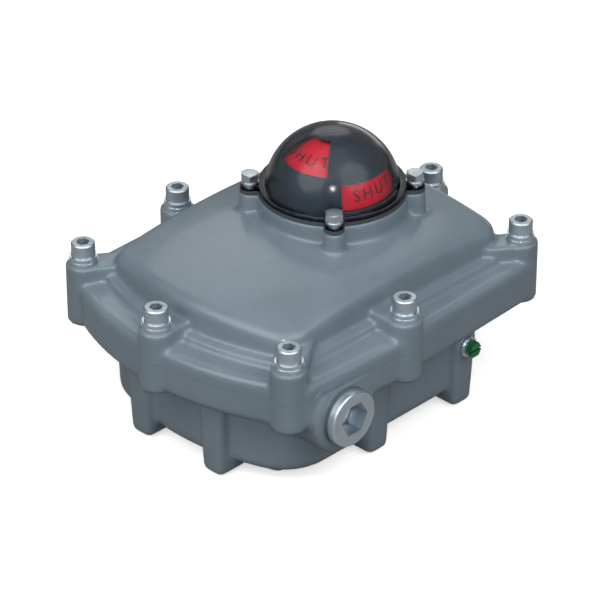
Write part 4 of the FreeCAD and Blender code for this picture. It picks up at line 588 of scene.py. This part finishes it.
@dataclass
class Casting:
    """A die casting, whose CAD edges are softened into the blends of cast metal.

    Its side is 1 for the casting above the parting level and -1 for the one below. Sizes are in millimetres.
    """

    node: str
    side: int
    voxel: float = 0.9
    passes: int = 3
    softness: float = 0.5
    seam: float = 0.05
    overlap: float = 3.0
    weld: float = 0.002
    level_tolerance: float = 0.01
    cut_tolerance: float = 1e-5
    body: str = "box"

    @property
    def parting(self) -> float:
        """Return the parting level, where the node ends towards the other casting."""
        low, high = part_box(self.node)
        return round((low if self.side > 0 else high)[2] / MM, 3)

    def lengthened(self) -> bpy.types.Mesh:
        """Copy the node's mesh and lengthen it past the parting level.

        Returns:
            The new mesh.
        """
        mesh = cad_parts[self.node].data.copy()
        parting = self.parting
        form = bmesh.new()
        form.from_mesh(mesh)
        bmesh.ops.remove_doubles(form, verts=form.verts, dist=self.weld * MM)
        level = [v for v in form.verts if abs(v.co.z / MM - parting) < self.level_tolerance]
        bmesh.ops.translate(form, verts=level, vec=(0, 0, -self.side * self.overlap * MM))
        form.to_mesh(mesh)
        form.free()
        return mesh

    def gridded(self) -> bpy.types.Mesh:
        """Rebuild the lengthened casting on an even grid.

        Returns:
            The new mesh.
        """
        coarse = self.lengthened()
        shell = bpy.data.objects.new("softening", coarse)
        bpy.context.scene.collection.objects.link(shell)
        grid = shell.modifiers.new("grid", "REMESH")
        grid.mode = "VOXEL"
        grid.voxel_size = self.voxel * MM
        grid.use_smooth_shade = True
        graph = bpy.context.evaluated_depsgraph_get()
        fine = bpy.data.meshes.new_from_object(shell.evaluated_get(graph))
        bpy.data.objects.remove(shell)
        bpy.data.meshes.remove(coarse)
        return fine

    def part(self, form: bmesh.types.BMesh) -> None:
        """Cut the casting off square at the parting level and close it there.

        Args:
            form: the softened casting, which is changed.
        """
        height = (self.parting + self.side * self.seam) * MM
        away = Vector((0, 0, -self.side))
        cut = bmesh.ops.bisect_plane(form, geom=everything(form), dist=self.cut_tolerance * MM,
                                     plane_co=(0, 0, height), plane_no=away, clear_outer=True)
        rim = [edge for edge in cut["geom_cut"] if isinstance(edge, bmesh.types.BMEdge)]
        for edge in rim:
            edge.smooth = False
        cap = bmesh.ops.triangle_fill(form, edges=rim, use_beauty=True, normal=away)
        for face in cap["geom"]:
            if isinstance(face, bmesh.types.BMFace) and face.normal.dot(away) < 0:
                face.normal_flip()

    def build(self) -> bpy.types.Object:
        """Build the casting in place of its node.

        Returns:
            The new piece.
        """
        mesh = self.gridded()
        form = bmesh.new()
        form.from_mesh(mesh)
        for _ in range(self.passes):
            bmesh.ops.smooth_vert(form, verts=form.verts, factor=self.softness, use_axis_x=True,
                                  use_axis_y=True, use_axis_z=True)
        for face in form.faces:
            face.smooth = True
        self.part(form)
        form.to_mesh(mesh)
        form.free()
        piece = keep(mesh, f"{self.node}_casting", self.body, PAINT)
        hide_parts(self.node)
        return piece


@dataclass
class IndicatorLetters:
    """Words printed on the curved indicator panels. Sizes are in millimetres and degrees."""

    dome_radius: float = 28.4
    panel_radius: float = 24.9
    clearance: float = 0.02
    thickness: float = 0.1
    height: float = 4.8
    font_to_height: float = 1.45
    spacing: float = 1.35
    low_latitude: float = 19.5
    high_latitude: float = 52.0
    cuts_across: int = 24
    cuts_up: int = 6
    weld: float = 0.001
    cut_tolerance: float = 1e-4

    @property
    def centre(self) -> float:
        """Return the height of the dome's centre."""
        return round(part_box("dome_window")[1][2] / MM - self.dome_radius, 3)

    def written(self, text: Letters) -> bpy.types.Mesh:
        """Write one word on the level, centred on the origin.

        Args:
            text: the word.

        Returns:
            The letters' mesh.
        """
        curve = bpy.data.curves.new("word", "FONT")
        curve.body = text.value
        curve.align_x = "CENTER"
        curve.align_y = "CENTER"
        curve.size = self.height * self.font_to_height * MM
        curve.space_character = self.spacing
        curve.extrude = self.thickness / 2 * MM
        curve.resolution_u = 6
        source = bpy.data.objects.new("word", curve)
        bpy.context.scene.collection.objects.link(source)
        graph = bpy.context.evaluated_depsgraph_get()
        mesh = bpy.data.meshes.new_from_object(source.evaluated_get(graph))
        bpy.data.objects.remove(source)
        bpy.data.curves.remove(curve)
        return mesh

    def slit(self, form: bmesh.types.BMesh, across: tuple[int, int, int], place: float) -> None:
        """Cut the letters along a line, without parting them, so that they can bend there.

        Args:
            form: the letters, which are changed.
            across: the direction across the line.
            place: how far from the origin the line lies, in metres.
        """
        bmesh.ops.bisect_plane(form, geom=everything(form), plane_co=Vector(across) * place,
                               plane_no=across, dist=self.cut_tolerance * MM)

    def bend(self, form: bmesh.types.BMesh, longitude: float, latitude: float) -> None:
        """Bend flat letters round the dome's centre.

        Args:
            form: the letters, which are changed.
            longitude: degrees from +X at the word's middle.
            latitude: degrees above the centre at the letters' middle.
        """
        centre = self.centre * MM
        radius = (self.panel_radius + self.clearance) * MM
        middle = math.radians(latitude)
        for v in form.verts:
            lon = math.radians(longitude) + v.co.x / (radius * math.cos(middle))
            lat = middle + v.co.y / radius
            out = radius + self.thickness / 2 * MM + v.co.z
            v.co = Vector((out * math.cos(lat) * math.cos(lon), out * math.cos(lat) * math.sin(lon),
                           centre + out * math.sin(lat)))

    def word(self, text: Letters, longitude: float, latitude: float) -> bpy.types.Mesh:
        """Make one word and bend it onto its panel.

        Args:
            text: the word.
            longitude: degrees from +X at the word's middle.
            latitude: degrees above the dome's centre at the letters' middle.

        Returns:
            The bent letters.
        """
        mesh = self.written(text)
        form = bmesh.new()
        form.from_mesh(mesh)
        bmesh.ops.remove_doubles(form, verts=form.verts, dist=self.weld * MM)
        reach = max(abs(v.co.x) for v in form.verts)
        for i in range(1, self.cuts_across):
            self.slit(form, (1, 0, 0), reach * (2 * i / self.cuts_across - 1))
        for i in range(self.cuts_up + 1):
            self.slit(form, (0, 1, 0), self.height * MM * (i / self.cuts_up - 0.5))
        self.bend(form, longitude, latitude)
        form.to_mesh(mesh)
        form.free()
        return mesh

    def panels(self, turn: float) -> list[tuple[float, float]]:
        """List where one colour's four panels stand: two low ones, and two high ones between them.

        Args:
            turn: degrees from +X to the first low panel, 0 or 90.

        Returns:
            The longitude and latitude of each panel.
        """
        low = [(turn + half, self.low_latitude) for half in (0.0, 180.0)]
        return low + [(90.0 - turn + half, self.high_latitude) for half in (0.0, 180.0)]

    def build(self) -> list[bpy.types.Object]:
        """Print the words on all eight panels.

        Returns:
            The printed words, one piece for each colour of panel.
        """
        pieces = []
        for text, turn in ((Letters.SHUT, 0.0), (Letters.OPEN, 90.0)):
            name = f"{text.value.lower()}_words"
            printed = bpy.data.meshes.new(name)
            joined = bmesh.new()
            for longitude, latitude in self.panels(turn):
                mesh = self.word(text, longitude, latitude)
                joined.from_mesh(mesh)
                bpy.data.meshes.remove(mesh)
            joined.to_mesh(printed)
            joined.free()
            pieces.append(keep(printed, name, "shaft", INK))
        return pieces


@dataclass(frozen=True)
class Lamp:
    """A soft area lamp, placed by its direction as seen from the box. Sizes are in metres."""

    name: str
    azimuth: float
    elevation: float
    distance: float
    width: float
    power: float
    shape: LampShape = LampShape.ROUND
    height: float = 0.0
    aim_height: float = 0.06

    def hang(self) -> None:
        """Hang the lamp so that it looks at the box."""
        data = bpy.data.lights.new(self.name, "AREA")
        data.shape = self.shape.value
        data.size = self.width
        if self.shape is LampShape.SQUARE:
            data.size_y = self.height
        data.energy = self.power
        lamp = bpy.data.objects.new(self.name, data)
        bpy.context.scene.collection.objects.link(lamp)
        out = direction(self.azimuth, self.elevation)
        lamp.location = Vector((0, 0, self.aim_height)) + out * self.distance
        lamp.rotation_mode = "QUATERNION"
        lamp.rotation_quaternion = out.to_track_quat("Z", "Y")


def direction(azimuth: float, elevation: float) -> Vector:
    """Return the direction from the box to a place round it.

    Args:
        azimuth: degrees round the box, 0 for a place on -Y and 90 for one on +X.
        elevation: degrees above the floor.

    Returns:
        A vector of length 1.
    """
    az, el = math.radians(azimuth), math.radians(elevation)
    return Vector((math.sin(az) * math.cos(el), -math.cos(az) * math.cos(el), math.sin(el)))


@dataclass
class Studio:
    """The pale floor, the lights and the camera. The camera's sizes are in millimetres."""

    azimuth: float = 44.3
    elevation: float = 30.72
    distance: float = 1400.0
    aim: tuple[float, float, float] = (2.65, -21.9, 44.51)
    lens: float = 202.3
    sensor: float = 36.0
    gloss_light: float = 0.1
    other_light: float = 0.07
    floor_bounce: float = 0.02
    floor_gloss: float = 0.3
    floor_lift: float = 0.45
    floor_reach: float = 4000.0
    floor_gap: float = 0.2
    lamps: tuple[Lamp, ...] = (
        Lamp("overhead", azimuth=40.0, elevation=74.0, distance=1.3, width=1.5, power=4.7),
        Lamp("front_left", azimuth=-4.0, elevation=41.0, distance=1.4, width=1.3, power=10.8),
        Lamp("front_right", azimuth=94.0, elevation=41.0, distance=1.5, width=1.3, power=9.8),
        Lamp("camera_side", azimuth=44.3, elevation=30.0, distance=1.65, width=0.13, power=8.5),
        Lamp("back_softbox", azimuth=226.0, elevation=36.0, distance=1.5, width=0.9, power=2.5),
        Lamp("back_card", azimuth=207.0, elevation=1.0, distance=1.6, width=0.8, power=1.6,
             shape=LampShape.SQUARE, height=0.36),
    )

    def camera(self) -> None:
        """Place the camera where the photograph was taken from."""
        data = bpy.data.cameras.new("camera")
        data.lens = self.lens
        data.sensor_width = self.sensor
        data.clip_end = 20.0
        camera = bpy.data.objects.new("camera", data)
        bpy.context.scene.collection.objects.link(camera)
        back = direction(self.azimuth, self.elevation)
        camera.rotation_mode = "QUATERNION"
        camera.location = (Vector(self.aim) + back * self.distance) * MM
        camera.rotation_quaternion = (-back).to_track_quat("-Z", "Y")
        bpy.context.scene.camera = camera

    def seen(self, wiring: Wiring) -> bpy.types.NodeSocket:
        """Tell what the camera sees, straight or through glass.

        Args:
            wiring: the tree's wiring.

        Returns:
            A socket with 1 for such rays and 0 for the others.
        """
        path = wiring.add("ShaderNodeLightPath")
        return wiring.maths("MAXIMUM", path.outputs["Is Camera Ray"], path.outputs["Is Transmission Ray"])

    def world(self) -> None:
        """Make the white background and its soft light."""
        world = bpy.data.worlds.new("white_room")
        world.use_nodes = True
        world.node_tree.nodes.clear()
        wiring = Wiring(world.node_tree)
        sky = wiring.add("ShaderNodeBackground", Color=(1, 1, 1, 1))
        end = wiring.add("ShaderNodeOutputWorld")
        path = wiring.add("ShaderNodeLightPath")
        gloss = wiring.maths("MULTIPLY", path.outputs["Is Glossy Ray"], self.gloss_light)
        strength = wiring.maths("MAXIMUM", self.seen(wiring), gloss)
        wiring.join(wiring.maths("MAXIMUM", strength, self.other_light), sky.inputs["Strength"])
        wiring.join(sky.outputs[0], end.inputs["Surface"])
        bpy.context.scene.world = world

    def floor(self) -> None:
        """Lay the pale floor, which keeps the box's shadow."""
        form = bmesh.new()
        bmesh.ops.create_grid(form, x_segments=1, y_segments=1, size=self.floor_reach * MM)
        bmesh.ops.translate(form, verts=form.verts, vec=(0, 0, -self.floor_gap * MM))
        mesh = bpy.data.meshes.new("floor")
        form.to_mesh(mesh)
        form.free()
        floor = bpy.data.objects.new("floor", mesh)
        bpy.context.scene.collection.objects.link(floor)
        mesh.materials.append(self.floor_finish())

    def floor_finish(self) -> bpy.types.Material:
        """Make the floor white to the camera and dim to the box.

        Returns:
            The material.
        """
        material = bpy.data.materials.new("pale_floor")
        material.use_nodes = True
        wiring = Wiring(material.node_tree)
        shader = material.node_tree.nodes["Principled BSDF"]
        path = wiring.add("ShaderNodeLightPath")
        gloss = wiring.maths("MULTIPLY", path.outputs["Is Glossy Ray"], self.floor_gloss)
        tone = wiring.maths("MAXIMUM", wiring.maths("MAXIMUM", self.seen(wiring), gloss), self.floor_bounce)
        wiring.join(tone, shader.inputs["Base Color"])
        shader.inputs["Roughness"].default_value = 0.9
        black = (0.0, 0.0, 0.0, 1.0)
        glow = (self.floor_lift,) * 3 + (1.0,)
        lift = wiring.mix(black, glow, path.outputs["Is Camera Ray"])
        wiring.join(lift, shader.inputs["Emission Color"])
        shader.inputs["Emission Strength"].default_value = 1.0
        return material

    def build(self) -> None:
        """Set up the whole studio."""
        bpy.context.scene.view_settings.view_transform = "Standard"
        self.camera()
        self.world()
        self.floor()
        for lamp in self.lamps:
            lamp.hang()


def main() -> None:
    """Build the studio and every piece in order."""
    logging.basicConfig(level=logging.INFO, format="%(name)s: %(message)s")
    steps: list[tuple[str, Callable[[], object]]] = [
        ("studio", Studio().build),
        ("finishes", shop.dress_nodes),
        ("lower casting", Casting("lower_housing", side=-1, voxel=1.05).build),
        ("cover casting", Casting("cover", side=1).build),
        ("letters", IndicatorLetters().build),
    ]
    for label, step in steps:
        step()
        log.info("%s ready", label)


if __name__ == "__main__":
    main()
